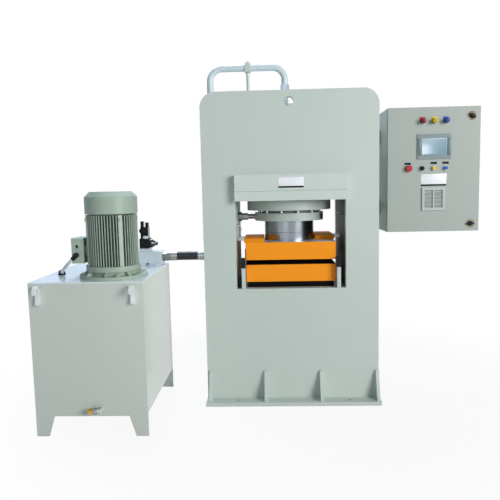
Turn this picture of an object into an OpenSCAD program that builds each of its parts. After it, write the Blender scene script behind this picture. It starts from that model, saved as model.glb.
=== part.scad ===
// Hydraulic compression moulding press with its power pack and control panel.
// Origin on the floor under the cylinder axis, X to the right, Y to the back, Z up, millimetres.

/* [Frame] */
// Width of the front and rear plates
frame_w = 1100; // [1040:10:1300]
// Height of the plates' top edge above the floor
frame_h = 1970; // [1960:10:2200]
// Depth over the front and rear plates
frame_d = 600; // [600:10:760]
// Thickness of the front and rear plates
plate_t = 50; // [40:1:50]
// Radius of the plates' top corners
crown_r = 95; // [20:5:150]
// Thickness of the upright webs inside the columns
web_t = 25; // [12:1:30]
// Set-back of the outer webs from the plates' side edges, as a share of the column's width
web_share = 0.39; // [0.37:0.01:0.44]
// Diameter of the lifting holes
lift_hole_d = 57; // [40:1:66]
// Drop of the lifting holes below the plates' top edge
lift_hole_drop = 68; // [56:1:80]

/* [Window] */
// Width of the window in the plates
window_w = 690; // [680:2:710]
// Depth of the window sill below the plates' top edge
sill_drop = 1230; // [1230:5:1370]
// Height of the window cut in the plates, its top filled by the bolster
window_h = 719; // [719:1:730]
// Height of the top bolster
bolster_h = 162; // [150:1:162]
// Stand-out of the bolster in front of the plates
bolster_proud = 50; // [20:1:80]
// Thickness of the bed plate
bed_t = 90; // [40:5:120]

/* [Base] */
// Stand-out of the base plate at each side
base_side = 5; // [2:1:100]
// Stand-out of the base plate at the front and rear
base_proud = 90; // [88:1:140]
// Thickness of the base plate
base_t = 25; // [16:1:40]
// Height of the foot gussets
gusset_h = 180; // [100:5:260]
// Thickness of the foot gussets
gusset_t = 20; // [8:1:24]
// Inset of the end gussets from the plates' side edges
gusset_in = 7.5; // [6:0.5:60]
// Diameter of the anchor holes
anchor_d = 26; // [18:1:32]

/* [Cylinder] */
// Diameter of the cylinder flange under the bolster
flange_d = 560; // [540:2:580]
// Height of the cylinder flange
flange_h = 66; // [50:1:66]
// Gap between the flange and the gland ring
gland_gap = 18; // [10:1:18]
// Diameter of the gland ring
gland_d = 460; // [456:2:480]
// Height of the gland ring
gland_h = 52; // [44:1:52]
// Diameter of the barrel
barrel_d = 430; // [420:2:448]
// Diameter of the cylinder bore
bore_d = 360; // [350:1:364]
// Height of the barrel above the bolster seat
barrel_h = 440; // [430:5:460]
// Diameter of the ram
ram_d = 330; // [300:1:332]
// Diameter of the gland bolts
bolt_d = 20; // [12:1:22]
// Number of gland bolts
bolt_count = 12; // [8:2:16]

/* [Platens] */
// Width of the platens
platen_w = 576; // [500:2:576]
// Depth of the platens
platen_d = 500; // [440:2:500]
// Thickness of the upper platen
upper_platen_t = 112; // [80:1:112]
// Thickness of the lower platen
lower_platen_t = 110; // [80:1:112]
// Thickness of the insulating board under the lower platen
insulation_t = 37; // [20:1:40]
// Gap between the platens as they stand
daylight = 31; // [31:1:50]
// Height of the ram adapter
adapter_h = 54; // [50:1:70]
// Thickness of the guide wings on the upper platen
wing_t = 27; // [25:1:48]
// Reach of the guide wings behind the ram axis
wing_back = 80; // [60:2:120]
// Height of the stop posts on the window sill
post_h = 131; // [100:1:140]

/* [Pipework] */
// Diameter of the pressure pipe
pipe_d = 42; // [25:1:44]
// Bend radius of the pressure pipe
bend_r = 80; // [60:1:100]
// Height of the pipe's top run above the plates
pipe_rise = 176; // [150:1:220]
// Distance of the riser's axis from the outer web
riser_off = 30; // [30:1:34]
// Distance of the pipework in front of the cylinder axis
line_set = 100; // [90:1:110]
// Diameter of the pressure hose
hose_d = 58; // [40:1:60]
// Height of the pressure hose's middle above the tank's lid
hose_h = 54; // [49:1:57]

/* [Tank] */
// Width of the oil tank
tank_w = 640; // [620:5:800]
// Depth of the oil tank
tank_d = 790; // [780:5:900]
// Height of the tank's lid above the floor
tank_h = 883; // [800:1:1000]
// Gap between the tank and the press plates
tank_gap = 280; // [270:1:300]
// Stand-out of the tank in front of the press plates
tank_front = 505; // [495:1:510]
// Thickness of the tank plates
tank_t = 8; // [5:1:10]
// Height of the cut-out between the tank's legs
leg_h = 118; // [60:2:124]
// Height of the tank's bottom above the floor
tank_floor = 135; // [130:1:145]

/* [Motor] */
// Diameter of the motor's mounting flange
motor_flange_d = 390; // [370:2:396]
// Diameter over the cooling fins
motor_d = 292; // [280:2:294]
// Height of the finned frame
motor_h = 290; // [270:2:340]
// Number of cooling fins
fin_count = 56; // [40:4:60]
// Diameter of the fan cowl
cowl_d = 300; // [297:1:310]
// Height of the fan cowl
cowl_h = 126; // [120:1:150]
// Diameter of the motor shaft
shaft_d = 42; // [28:1:48]
// Number of fan blades
blade_count = 7; // [5:1:9]

/* [Control panel] */
// Width of the control panel
panel_w = 590; // [570:5:640]
// Height of the control panel
panel_h = 800; // [780:5:900]
// Depth of the control panel with its door
panel_d = 300; // [250:5:350]
// Gap between the press plates and the panel
panel_gap = 93; // [90:1:130]
// Drop of the panel's top edge below the press plates' top edge
panel_drop = 100; // [70:1:105]
// Set-back of the door's face from the press plates' face
panel_set = 200; // [195:1:240]
// Thickness of the panel's sheet
panel_t = 3; // [2:0.5:3]

/* [Door fittings] */
// Distance of the first lamp and button column from the hinge edge
column_x = 221; // [215:1:225]
// Spacing of the lamp and button columns
column_pitch = 75; // [68:1:78]
// Height of the lamp row above the panel's bottom edge
lamp_h = 712; // [690:1:730]
// Diameter of the pilot lamps
lamp_d = 36; // [28:1:40]
// Width of the touch screen's frame
screen_w = 216; // [190:1:226]
// Height of the touch screen's frame
screen_h = 160; // [140:1:170]
// Height of the touch screen's centre above the panel's bottom edge
screen_mid = 549; // [540:1:560]
// Height of the button row above the panel's bottom edge
button_h = 411; // [405:1:415]
// Diameter of the push buttons
button_d = 28; // [22:1:32]
// Distance of the emergency stop from the hinge edge
estop_x = 134; // [125:1:140]
// Diameter of the emergency stop's mushroom
estop_d = 42; // [36:1:48]
// Width and height of the ventilation filter
filter_w = 149; // [120:1:160]
// Height of the filter's centre above the panel's bottom edge
filter_mid = 212; // [200:1:230]
// Distance of the door locks from the hinge edge
lock_x = 536; // [510:1:545]
// Height of the lower lock above the panel's bottom edge
lock_low = 48; // [44:1:90]
// Height of the upper lock above the panel's bottom edge
lock_high = 740; // [700:1:745]
// Length of the lock wings
lock_d = 44; // [36:1:48]

/* [Hidden] */
$fn = 64;

// Paint and material colours
press_paint = "#bdc7bf";
tank_paint = "#b7beb5";
motor_paint = "#9faf9f";
panel_paint = "#adb5ab";
platen_orange = "#f5941f";
bright_steel = "#c9cbcd";
dark_steel = "#50565a";
black_rubber = "#1c1d1f";
brass = "#b8974c";

// Running clearance of moving fits and overrun of all cuts
run_gap = 0.3;
cut = 5;

// Frame: planes and heights that the pieces share
front_y = -frame_d / 2;
plate_y = front_y + plate_t;
web_y = frame_d - 2 * plate_t;
window_x = window_w / 2;
column_w = frame_w / 2 - window_x;
outer_web_x = frame_w / 2 - web_share * column_w;
bed_h = frame_h - sill_drop;
seat_z = bed_h + window_h - bolster_h;
bolster_d = frame_d + 2 * bolster_proud;
bolster_groove = 2;
bolster_lip_h = 58;
lift_z = frame_h - lift_hole_drop;
crown_t = 25;
crown_drop = 155;
crown_z = frame_h - crown_drop;
base_w = frame_w + 2 * base_side;
base_d = frame_d + 2 * base_proud;
gusset_count = 4;
gusset_pitch = (frame_w - gusset_t - 2 * gusset_in) / (gusset_count - 1);
anchor_x = gusset_pitch;
anchor_y = frame_d / 2 + base_proud / 2;
gusset_margin = 10;
gusset_reach = base_proud - gusset_margin;
gusset_toe = 15;
gusset_shift = 6;
gusset_top = 12;

// Cylinder heights below the bolster seat
flange_z = seat_z - flange_h;
gland_top = flange_z - gland_gap;
gland_z = gland_top - gland_h;
bolt_circle_r = (gland_d + bore_d) / 4;
bolt_head_share = 1.5;
bolt_head_d = bolt_head_share * bolt_d;
bolt_grip = 30;
spigot_h = 66;
barrel_cap = 90;
port_d = 70;
pipe_hole_d = 60;
port_x = -18;
port_h = 30;
piston_h = 80;
piston_rise = 396;
port_bore_d = 34;
port_bore_h = 8;
wall_nut_d = 62;
wall_nut_l = 26;
reducer_d = 46;
reducer_l = 40;
retract_z = gland_z + gland_h / 2;
bleed_angle = -28;
bleed_d = 30;
bleed_in = 10;
bleed_out = 7;
peg_d = 14;
peg_l = 34;
peg_y = -150;
peg_drop = 6;

// Platens and what stands on the bed
lower_z = bed_h + insulation_t;
lower_top = lower_z + lower_platen_t;
upper_z = lower_top + daylight;
upper_top = upper_z + upper_platen_t;
adapter_top = upper_top + adapter_h;
board_inset = 12;
wing_out = 297;
wing_clear = 5;
wing_in = ram_d / 2 + wing_clear;
shoe_gap = 0.5;
shoe_front = 120;
shoe_back = 20;
shoe_low = 2;
shoe_h = 22;
platen_bevel = 3;
post_w = 24;
post_d = 40;
post_in = 290;
post_x = post_in;
post_y = front_y + plate_t / 2;
cap_h = 64;
cap_grow = 3;
terminal_w = 26;
terminal_d = 60;
terminal_h = 68;

// Limit switch on the left inner web
switch_y = -190;
switch_drop = 22;
switch_z = gland_z - switch_drop;
switch_share = 0.45;
switch_w = switch_share * (column_w - web_share * column_w - 2 * web_t);
switch_d = 40;
switch_h = 90;
lever_pin_d = 12;
lever_pin_l = 22;
lever_t = 6;
lever_hub_d = 18;
lever_l = 34;
lever_w = 10;
lever_tilt = 40;
roller_d = 16;
roller_t = 8;

// Pipework
line_y = -line_set;
riser_x = -outer_web_x - riser_off;
hose_z = tank_h + hose_h;
run_z = frame_h + pipe_rise;
boss_z = seat_z + barrel_h;
pipe_nut_d = 55;
pipe_nut_h = 38;
union_rise = 27;
union_z = frame_h + union_rise;
elbow_w = 58;
pipe_clamp_x = -255;
clamp_w = 36;
clamp_d = 46;
clamp_h = 46;
clamp_wall = 8;
clamp_post_d = 20;
clamp_bolt_d = 14;
clamp_bolt_h = 20;
saddle_h = 40;
saddle_d = 56;
saddle_shares = [0.62, 0.86];
ferrule_d = 62;
ferrule_1_l = 66;
ferrule_2_l = 52;
hose_nut_d = 66;
hose_nut_l = 30;
ferrule_grip = 6;

// Tank outline and what stands on its lid
tank_x1 = -frame_w / 2 - tank_gap;
tank_x0 = tank_x1 - tank_w;
tank_y0 = front_y - tank_front;
tank_y1 = tank_y0 + tank_d;
lid_t = 8;
lid_z = tank_h - lid_t;
leg_foot_l = 70;
leg_slope = 36;
hook_t = 22;
hook_r = 30;
hook_bar = 14;
hook_leg = 76;
hook_tip = 16;
hook_foot = 26;
hook_left = 56;
hook_right = 55;
hook_drop = 7;
drain_x = 380;
drain_z = 161;
drain_d = 24;
drain_l = 36;
drain_arm = 36;
drain_nut_d = 34;
drain_nut_l = 30;

// Motor, fan and pump on one upright axis
motor_in_x = 216;
motor_in_y = 218;
motor_x = tank_x1 - motor_in_x;
motor_y = tank_y0 + motor_in_y;
flange_t = 18;
shield_h = 30;
shield_d = 312;
foot_h = 22;
foot_d = 276;
rib_count = 8;
rib_t = 14;
flange_bolt_r = 168;
flange_bolt_d = 32;
flange_bolt_h = 12;
sink = 2;
fin_t = 4;
fin_h = 20;
lug_w = 24;
lug_proud = 3;
lug_angle = -56;
lug_bolt_d = 20;
lug_bolt_h = 6;
lug_bolt_drop = 24;
stator_d = 190;
rotor_gap = 1;
rotor_inset = 40;
cowl_t = 3;
cowl_chamfer = 30;
cowl_lift = 6;
grille_r0 = 34;
grille_step = 22;
grille_slot = 12;
grille_rings = 4;
spoke_w = 10;
ear_w = 40;
end_shield_h = 22;
fan_d = 270;
fan_hub_d = 80;
fan_h = 50;
fan_lift = 14;
blade_t = 5;
motor_z = tank_h + flange_t + foot_h + shield_h;
frame_top = motor_z + motor_h;
cowl_z = frame_top + cowl_lift;
coupling_d = 90;
coupling_h = 70;
shaft_drop = 130;
bell_d = 180;
bell_t = 12;
bell_h = 150;
bell_flange_d = 240;
pump_w = 130;
pump_d = 110;
pump_h = 120;
strainer_d = 90;
strainer_h = 120;
suction_d = 34;
suction_l = 60;
lid_hole_d = 150;

// Terminal box on the motor's left side, with its conduit
box_w = 70;
box_d = 146;
box_h = 145;
box_lift = 15;
box_lid_t = 10;
box_seat = 4;
seat_share = 0.3;
entry_d = 20;
entry_low = 50;
entry_high = 97;
entry_set = 30;
gland_nut_d = 26;
gland_ball_d = 30;
gland_nut_l = 24;
conduit_d = 20;
conduit_sides = 16;
outlet_left = 125;
outlet_back = 155;
outlet_h = 13;
boot_d = 46;
boot_top_d = 32;
boot_h = 28;

// Conduit's route from the elbow gland, to the left, back and down into its boot on the lid
conduit_route = [[0, 0, 0], [-8, 1, -8], [-16.5, 3, -16], [-25, 7, -24], [-33.5, 12.5, -31.5],
    [-42, 20, -39], [-51, 28.5, -46], [-60, 39, -53], [-69, 51, -60], [-78, 64, -67],
    [-87, 79, -73], [-96.5, 96, -80], [-106, 114, -86], [-115.5, 134, -92]];

// Manifold and valves on the tank lid
manifold_w = 150;
manifold_d = 120;
manifold_h = 74;
manifold_inset = 22;
pad_h = 16;
pad_w = 40;
sandwich_h = 20;
sandwich_w = 72;
sandwich_d = 84;
valve_w = 67;
valve_d = 70;
valve_h = 62;
coil_d = 56;
coil_l = 12;
coil_taper = 24;
coil_nut_d = 26;
coil_nut_l = 14;
pilot_w = 52;
pilot_d = 50;
pilot_h = 80;
pilot_coil_d = 37;
pilot_coil_h = 56;
knob_d = 24;
knob_l = 26;
plug_w = 20;
plug_d = 28;
plug_h = 38;
plug_step = 8;
plug_count = 2;

// Control panel planes; the door covers the box's open front
panel_x = frame_w / 2 + panel_gap;
panel_top = frame_h - panel_drop;
panel_y = front_y + panel_set;
panel_z = panel_top - panel_h;
door_fold = 20;
rim_set = 24;
rim_w = 22;
lip_set = 10;
lip_inset = 17;
hinge_in_x = 9;
hinge_in_y = 13;
hinge_x = panel_x + hinge_in_x;
hinge_y = panel_y + hinge_in_y;
hinge_fold = 11;
hinge_pin_d = 8;
hinge_eye_d = 13;
hinge_eye_h = 40;
hinge_arm_h = 8;
hinge_arm_w = 11;
hinge_notch = 64;
hinge_shares = [0.14, 0.86];
bracket_w = 40;
bracket_set = 12;
bracket_pad = 90;
bracket_pad_t = 8;
bracket_shares = [0.2, 0.8];
screen_t = 7;
screen_body_t = 38;
screen_border = 26;
screen_recess = 2;
body_inset = 10;
bezel_t = 5;
bezel_grow = 6;
thread_d = 22;
thread_l = 40;
lens_l = 26;
lens_bevel = 2;
cap_travel = 5;
cap_t = 7;
stem_d = 17;
stem_in = 8;
estop_neck = 22;
estop_t = 14;
selector_t = 8;
selector_bar = 9;
selector_bar_h = 10;
filter_t = 9;
filter_border = 16;
louvre_count = 9;
louvre_bar = 8;
lock_rim_t = 3;
lock_knob_t = 16;
lock_rim_d = 34;
lock_hub_d = 24;
lock_wing = 15;
lock_tip = 8;
top_turn = 52;
low_turn = 90;
lock_barrel_d = 20;
lock_barrel_l = 18;
centre_x = panel_x + column_x + column_pitch;
door_in = panel_y + panel_t;

// Box given by two opposite corners
module block(low, high) {
    translate(low) cube(high - low);
}

// Upright, sideways and fore-and-aft round bars from one end to the other
module bar_z(d, x, y, z0, z1) {
    translate([x, y, z0]) cylinder(d = d, h = z1 - z0);
}
module bar_x(d, x0, x1, y, z) {
    translate([x0, y, z]) rotate([0, 90, 0]) cylinder(d = d, h = x1 - x0);
}
module bar_y(d, x, y0, y1, z) {
    translate([x, y0, z]) rotate([-90, 0, 0]) cylinder(d = d, h = y1 - y0);
}

// Mirrored copies to the left and right, and to the front and rear
module both_sides() {
    children();
    mirror([1, 0, 0]) children();
}
module both_ends() {
    children();
    mirror([0, 1, 0]) children();
}

// Outline of a side plate of the frame, with its window and lifting hole
module plate_outline() {
    difference() {
        union() {
            translate([-frame_w / 2, base_t]) square([frame_w, frame_h - crown_r - base_t]);
            translate([crown_r - frame_w / 2, base_t]) square([frame_w - 2 * crown_r, frame_h - base_t]);
            for (side = [-1, 1])
                translate([side * (frame_w / 2 - crown_r), frame_h - crown_r]) circle(r = crown_r);
        }
        translate([-window_x, bed_h]) square([window_w, window_h]);
        translate([0, lift_z]) circle(d = lift_hole_d);
    }
}

module frame_plate(y) {
    translate([0, y + plate_t, 0]) rotate([90, 0, 0]) linear_extrude(plate_t) plate_outline();
}

module front_plate() {
    color(press_paint) frame_plate(front_y);
}

module rear_plate() {
    color(press_paint) frame_plate(-front_y - plate_t);
}

// Webs beside the window, drilled on the left for the switch shaft and the retract line
module inner_webs() {
    color(press_paint) difference() {
        both_sides() block([window_x, plate_y, base_t], [window_x + web_t, -plate_y, crown_z]);
        bar_x(lever_pin_d + 2 * run_gap, -window_x - web_t - cut, -window_x + cut, switch_y, switch_z);
    }
}

module outer_webs() {
    color(press_paint) both_sides()
        block([outer_web_x - web_t, plate_y, base_t], [outer_web_x, -plate_y, crown_z + crown_t]);
}

module base_plate() {
    color(press_paint) difference() {
        block([-base_w / 2, -base_d / 2, 0], [base_w / 2, base_d / 2, base_t]);
        for (x = [-1, 1], y = [-1, 1])
            bar_z(anchor_d, x * anchor_x, y * anchor_y, -cut, base_t + cut);
    }
}

// Triangular foot gusset with a blunt toe, on the front or rear face of a plate
module gusset(x) {
    translate([x + gusset_t / 2, front_y, base_t]) rotate([90, 0, -90]) linear_extrude(gusset_t)
        polygon([[0, 0], [gusset_reach, 0], [gusset_reach, gusset_toe],
            [gusset_top, gusset_h], [0, gusset_h]]);
}

module foot_gussets() {
    color(press_paint) both_ends() for (i = [0 : gusset_count - 1])
        gusset(gusset_shift + (i - (gusset_count - 1) / 2) * gusset_pitch);
}

// Bolster welded through the window tops, with a joint line along its face and the barrel's hole
module top_bolster() {
    color(press_paint) difference() {
        block([-window_x, -bolster_d / 2, seat_z], [window_x, bolster_d / 2, seat_z + bolster_h]);
        bar_z(barrel_d + 2 * run_gap, 0, 0, seat_z - cut, seat_z + bolster_h + cut);
        both_ends() block([-window_x - cut, -bolster_d / 2 - cut, seat_z + bolster_lip_h],
            [window_x + cut, -bolster_d / 2 + bolster_groove, seat_z + bolster_lip_h + bolster_groove]);
    }
}

module bed_plate() {
    color(press_paint) block([-window_x, plate_y, bed_h - bed_t], [window_x, -plate_y, bed_h]);
}

module crown_plate() {
    color(press_paint) difference() {
        block([web_t - outer_web_x, plate_y, crown_z], [outer_web_x - web_t, -plate_y, crown_z + crown_t]);
        bar_z(pipe_hole_d, port_x, line_y, crown_z - cut, crown_z + crown_t + cut);
    }
}

// Positions of the gland bolts
module bolt_places() {
    for (i = [0 : bolt_count - 1])
        rotate((i + 0.5) * 360 / bolt_count) translate([bolt_circle_r, 0, 0]) children();
}

module cylinder_barrel() {
    color(press_paint) difference() {
        union() {
            bar_z(flange_d, 0, 0, flange_z, seat_z);
            bar_z(barrel_d, 0, 0, flange_z, boss_z);
            bar_z(port_d, port_x, line_y, boss_z - cut, boss_z + port_h);
        }
        bar_z(bore_d, 0, 0, flange_z - cut, boss_z - barrel_cap);
        bar_z(pipe_d, port_x, line_y, boss_z + port_h / 2, boss_z + port_h + cut);
        bar_z(pipe_d / 2, port_x, line_y, boss_z - barrel_cap - cut, boss_z + port_h);
        bolt_places() bar_z(bolt_d, 0, 0, flange_z - cut, flange_z + bolt_grip);
    }
}

module gland_ring() {
    color(press_paint) difference() {
        union() {
            bar_z(gland_d, 0, 0, gland_z, gland_top);
            bar_z(bore_d - 2 * run_gap, 0, 0, gland_z, gland_top + spigot_h);
        }
        bar_z(ram_d + 2 * run_gap, 0, 0, gland_z - cut, gland_top + spigot_h + cut);
        bolt_places() bar_z(bolt_d, 0, 0, gland_z - cut, gland_top + cut);
        bolt_places() bar_z(bolt_head_d, 0, 0, gland_z - cut, gland_z + bolt_d);
        bar_x(port_bore_d, -gland_d / 2 - cut, port_bore_h - gland_d / 2, 0, retract_z);
        rotate(bleed_angle)
            bar_x(bleed_d + 2 * run_gap, gland_d / 2 - bleed_in, gland_d / 2 + cut, 0, retract_z);
    }
}

module gland_bolts() {
    color(bright_steel) bolt_places() {
        bar_z(bolt_d, 0, 0, gland_z + bolt_d / 2, flange_z + bolt_grip);
        bar_z(bolt_head_d, 0, 0, gland_z, gland_z + bolt_d);
    }
}

// Hexagon union from the left inner web to the gland ring's port, a bleed plug in the ring and a peg
module retract_fitting() {
    color(dark_steel) {
        translate([-window_x, 0, retract_z]) rotate([0, 90, 0])
            cylinder(d = wall_nut_d, h = wall_nut_l, $fn = 6);
        rotate(bleed_angle) bar_x(bleed_d, gland_d / 2 - bleed_in, gland_d / 2 + bleed_out, 0, retract_z);
        bar_x(peg_d, window_x - peg_l, window_x, peg_y, gland_top - peg_drop);
        translate([wall_nut_l - window_x, 0, retract_z]) rotate([0, 90, 0])
            cylinder(d = reducer_d, h = reducer_l, $fn = 6);
        bar_x(port_bore_d, wall_nut_l - window_x, port_bore_h - gland_d / 2, 0, retract_z);
    }
}

module ram() {
    color(bright_steel) {
        bar_z(ram_d, 0, 0, adapter_top, adapter_top + piston_rise + piston_h);
        bar_z(bore_d - 2 * run_gap, 0, 0, adapter_top + piston_rise, adapter_top + piston_rise + piston_h);
    }
}

module ram_adapter() {
    color(bright_steel) bar_z(ram_d, 0, 0, upper_top, adapter_top);
}

// Wings bolted on the upper platen, the right one turned half round from the left one
module guide_wings() {
    color(platen_orange) for (turn = [0, 180]) rotate(turn)
        block([-wing_out, -platen_d / 2, upper_top], [-wing_in, wing_back, upper_top + wing_t]);
}

module guide_shoes() {
    color(bright_steel) for (turn = [0, 180]) rotate(turn)
        block([shoe_gap - window_x, -shoe_front, upper_top + shoe_low],
            [-wing_out, -shoe_back, upper_top + shoe_low + shoe_h]);
}

// Flat heating platen with its upright edges bevelled
module platen(z, thickness) {
    translate([0, 0, z]) linear_extrude(thickness) polygon([
        [platen_bevel - platen_w / 2, -platen_d / 2], [platen_w / 2 - platen_bevel, -platen_d / 2],
        [platen_w / 2, platen_bevel - platen_d / 2], [platen_w / 2, platen_d / 2 - platen_bevel],
        [platen_w / 2 - platen_bevel, platen_d / 2], [platen_bevel - platen_w / 2, platen_d / 2],
        [-platen_w / 2, platen_d / 2 - platen_bevel], [-platen_w / 2, platen_bevel - platen_d / 2]]);
}

module upper_platen() {
    color(platen_orange) platen(upper_z, upper_platen_t);
}

module lower_platen() {
    color(platen_orange) platen(lower_z, lower_platen_t);
}

module insulation_board() {
    color(black_rubber) block(
        [board_inset - platen_w / 2, board_inset - platen_d / 2, bed_h],
        [platen_w / 2 - board_inset, platen_d / 2 - board_inset, lower_z]);
}

module stop_posts() {
    color(press_paint) both_ends() both_sides()
        block([post_x, post_y - post_d / 2, bed_h], [post_x + post_w, post_y + post_d / 2, bed_h + post_h]);
}

module post_caps() {
    color(black_rubber) both_ends() both_sides()
        block([post_x, post_y - post_d / 2, bed_h + post_h],
            [post_x + post_w + cap_grow, post_y + post_d / 2, bed_h + post_h + cap_h]);
}

module heater_terminal() {
    color(black_rubber) block([-window_x, plate_y, bed_h],
        [terminal_w - window_x, plate_y + terminal_d, bed_h + terminal_h]);
}

module limit_switch() {
    color(dark_steel) translate([-window_x - web_t, switch_y, switch_z]) difference() {
        block([-switch_w, -switch_d / 2, -switch_h / 2], [0, switch_d / 2, switch_h / 2]);
        bar_x(lever_pin_d + 2 * run_gap, -switch_w / 2, cut, 0, 0);
    }
}

// Shaft through the web with a cranked arm and a roller at its end
module limit_lever() {
    color(bright_steel) translate([-window_x, switch_y, switch_z]) {
        bar_x(lever_pin_d, -web_t - switch_w / 2 + run_gap, lever_pin_l - lever_t, 0, 0);
        bar_x(lever_hub_d, lever_pin_l - lever_t - sink, lever_pin_l + sink, 0, 0);
        rotate([lever_tilt, 0, 0]) {
            block([lever_pin_l - lever_t, -lever_w / 2, -lever_l], [lever_pin_l, lever_w / 2, 0]);
            bar_x(roller_d, lever_pin_l - lever_t / 2, lever_pin_l + roller_t, 0, -lever_l);
        }
    }
}

// Quarter bend of the pressure pipe, from upright to level
module bend(x, sense) {
    translate([x, line_y, run_z - bend_r]) rotate([90, 0, 0]) rotate(sense > 0 ? 90 : 0)
        rotate_extrude(angle = 90) translate([bend_r, 0]) circle(d = pipe_d);
}

module pressure_pipe() {
    color(press_paint) {
        bar_z(pipe_d, riser_x, line_y, hose_z + elbow_w / 2, run_z - bend_r);
        bend(riser_x + bend_r, 1);
        bar_x(pipe_d, riser_x + bend_r, port_x - bend_r, line_y, run_z);
        bend(port_x - bend_r, -1);
        bar_z(pipe_d, port_x, line_y, boss_z + port_h / 2, run_z - bend_r);
    }
}

// Elbow block under the riser and hexagon union nuts on the pipe
module pipe_nuts() {
    color(bright_steel) {
        difference() {
            translate([port_x, line_y, union_z]) cylinder(d = pipe_nut_d, h = pipe_nut_h, $fn = 6);
            bar_z(pipe_d, port_x, line_y, union_z - cut, union_z + pipe_nut_h + cut);
        }
        difference() {
            translate([riser_x, line_y, hose_z + elbow_w / 2])
                cylinder(d = pipe_nut_d, h = pipe_nut_h, $fn = 6);
            bar_z(pipe_d, riser_x, line_y, hose_z, hose_z + elbow_w + pipe_nut_h);
        }
        translate([riser_x, line_y, hose_z]) cube(elbow_w, center = true);
    }
}

// Split clamp on a post that carries the top run, and saddles that hold the riser to the outer web
module pipe_clamps() {
    color(press_paint) {
        difference() {
            union() {
                translate([pipe_clamp_x, line_y, run_z])
                    cube([clamp_w, clamp_d + clamp_wall, clamp_h + clamp_wall], center = true);
                bar_z(clamp_post_d, pipe_clamp_x, line_y, crown_z + crown_t, run_z);
                bar_z(clamp_bolt_d, pipe_clamp_x, line_y, run_z, run_z + clamp_h / 2 + clamp_bolt_h);
            }
            bar_x(pipe_d, pipe_clamp_x - clamp_w, pipe_clamp_x + clamp_w, line_y, run_z);
        }
        for (share = saddle_shares) difference() {
            block([riser_x - pipe_d / 2 - clamp_wall, line_y - saddle_d / 2, share * frame_h],
                [-outer_web_x, line_y + saddle_d / 2, share * frame_h + saddle_h]);
            bar_z(pipe_d, riser_x, line_y, share * frame_h - cut, share * frame_h + saddle_h + cut);
        }
    }
}

// Hose line from the manifold's side to the elbow, one diameter after another
hose_x0 = tank_x1 - manifold_inset;
ferrule_1_x = hose_x0 + hose_nut_l;
ferrule_2_x = riser_x - elbow_w / 2 - hose_nut_l - ferrule_2_l;

module pressure_hose() {
    color(black_rubber) bar_x(hose_d, ferrule_1_x + ferrule_1_l, ferrule_2_x, line_y, hose_z);
}

module hose_ferrules() {
    color(bright_steel) {
        translate([hose_x0, line_y, hose_z]) rotate([0, 90, 0])
            cylinder(d = hose_nut_d, h = hose_nut_l, $fn = 6);
        bar_x(ferrule_d, ferrule_1_x, ferrule_1_x + ferrule_1_l, line_y, hose_z);
        bar_x(ferrule_d, ferrule_2_x, ferrule_2_x + ferrule_2_l, line_y, hose_z);
        translate([ferrule_2_x + ferrule_2_l, line_y, hose_z]) rotate([0, 90, 0])
            cylinder(d = hose_nut_d, h = hose_nut_l, $fn = 6);
    }
}

// End plate of the tank that runs down as two legs
module tank_plate(y) {
    translate([tank_x0, y + tank_t, 0]) rotate([90, 0, 0]) linear_extrude(tank_t) difference() {
        square([tank_w, lid_z]);
        polygon([[leg_foot_l, -cut], [leg_foot_l, 0], [leg_foot_l + leg_slope, leg_h],
            [tank_w - leg_foot_l - leg_slope, leg_h], [tank_w - leg_foot_l, 0], [tank_w - leg_foot_l, -cut]]);
    }
}

// Front plate with the welded drain elbow
module tank_front_plate() {
    color(tank_paint) {
        tank_plate(tank_y0);
        translate([tank_x0 + drain_x, tank_y0, drain_z]) {
            bar_y(drain_d, 0, -drain_l, tank_t / 2, 0);
            translate([0, -drain_l, 0]) sphere(d = drain_d);
            bar_x(drain_d, -drain_arm, 0, -drain_l, 0);
        }
    }
}

module tank_rear_plate() {
    color(tank_paint) tank_plate(tank_y1 - tank_t);
}

// Side walls and bottom folded from one sheet, open at the top and ends
module tank_shell() {
    color(tank_paint) difference() {
        block([tank_x0, tank_y0 + tank_t, tank_floor], [tank_x1, tank_y1 - tank_t, lid_z]);
        block([tank_x0 + tank_t, tank_y0 - cut, tank_floor + tank_t],
            [tank_x1 - tank_t, tank_y1 + cut, lid_z + cut]);
    }
}

module tank_lid() {
    color(tank_paint) difference() {
        block([tank_x0, tank_y0, lid_z], [tank_x1, tank_y1, tank_h]);
        bar_z(lid_hole_d, motor_x, motor_y, lid_z - cut, tank_h + cut);
    }
}

// Flat crook welded on edge to the tank plate, open downwards for a sling
module hook(x) {
    translate([x + hook_t / 2, tank_y0, lid_z - hook_drop - hook_r]) rotate([90, 0, -90])
        linear_extrude(hook_t) {
            difference() {
                translate([hook_r, 0]) circle(r = hook_r);
                translate([hook_r, 0]) circle(r = hook_r - hook_bar);
                translate([-cut, -hook_r - cut]) square([2 * hook_r + 2 * cut, hook_r + cut]);
            }
            translate([2 * hook_r - hook_bar, -hook_tip]) square([hook_bar, hook_tip]);
            polygon([[0, 0], [hook_bar, 0], [hook_foot, -hook_leg], [0, -hook_leg]]);
        }
}

module lifting_hooks() {
    color(tank_paint) for (x = [tank_x0 + hook_left, tank_x1 - hook_right]) {
        hook(x);
        translate([0, tank_y0 + tank_y1, 0]) mirror([0, 1, 0]) hook(x);
    }
}

module drain_plug() {
    color(brass) translate([tank_x0 + drain_x - drain_arm, tank_y0 - drain_l, drain_z]) rotate([0, -90, 0])
        cylinder(d = drain_nut_d, h = drain_nut_l, $fn = 6);
}

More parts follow.
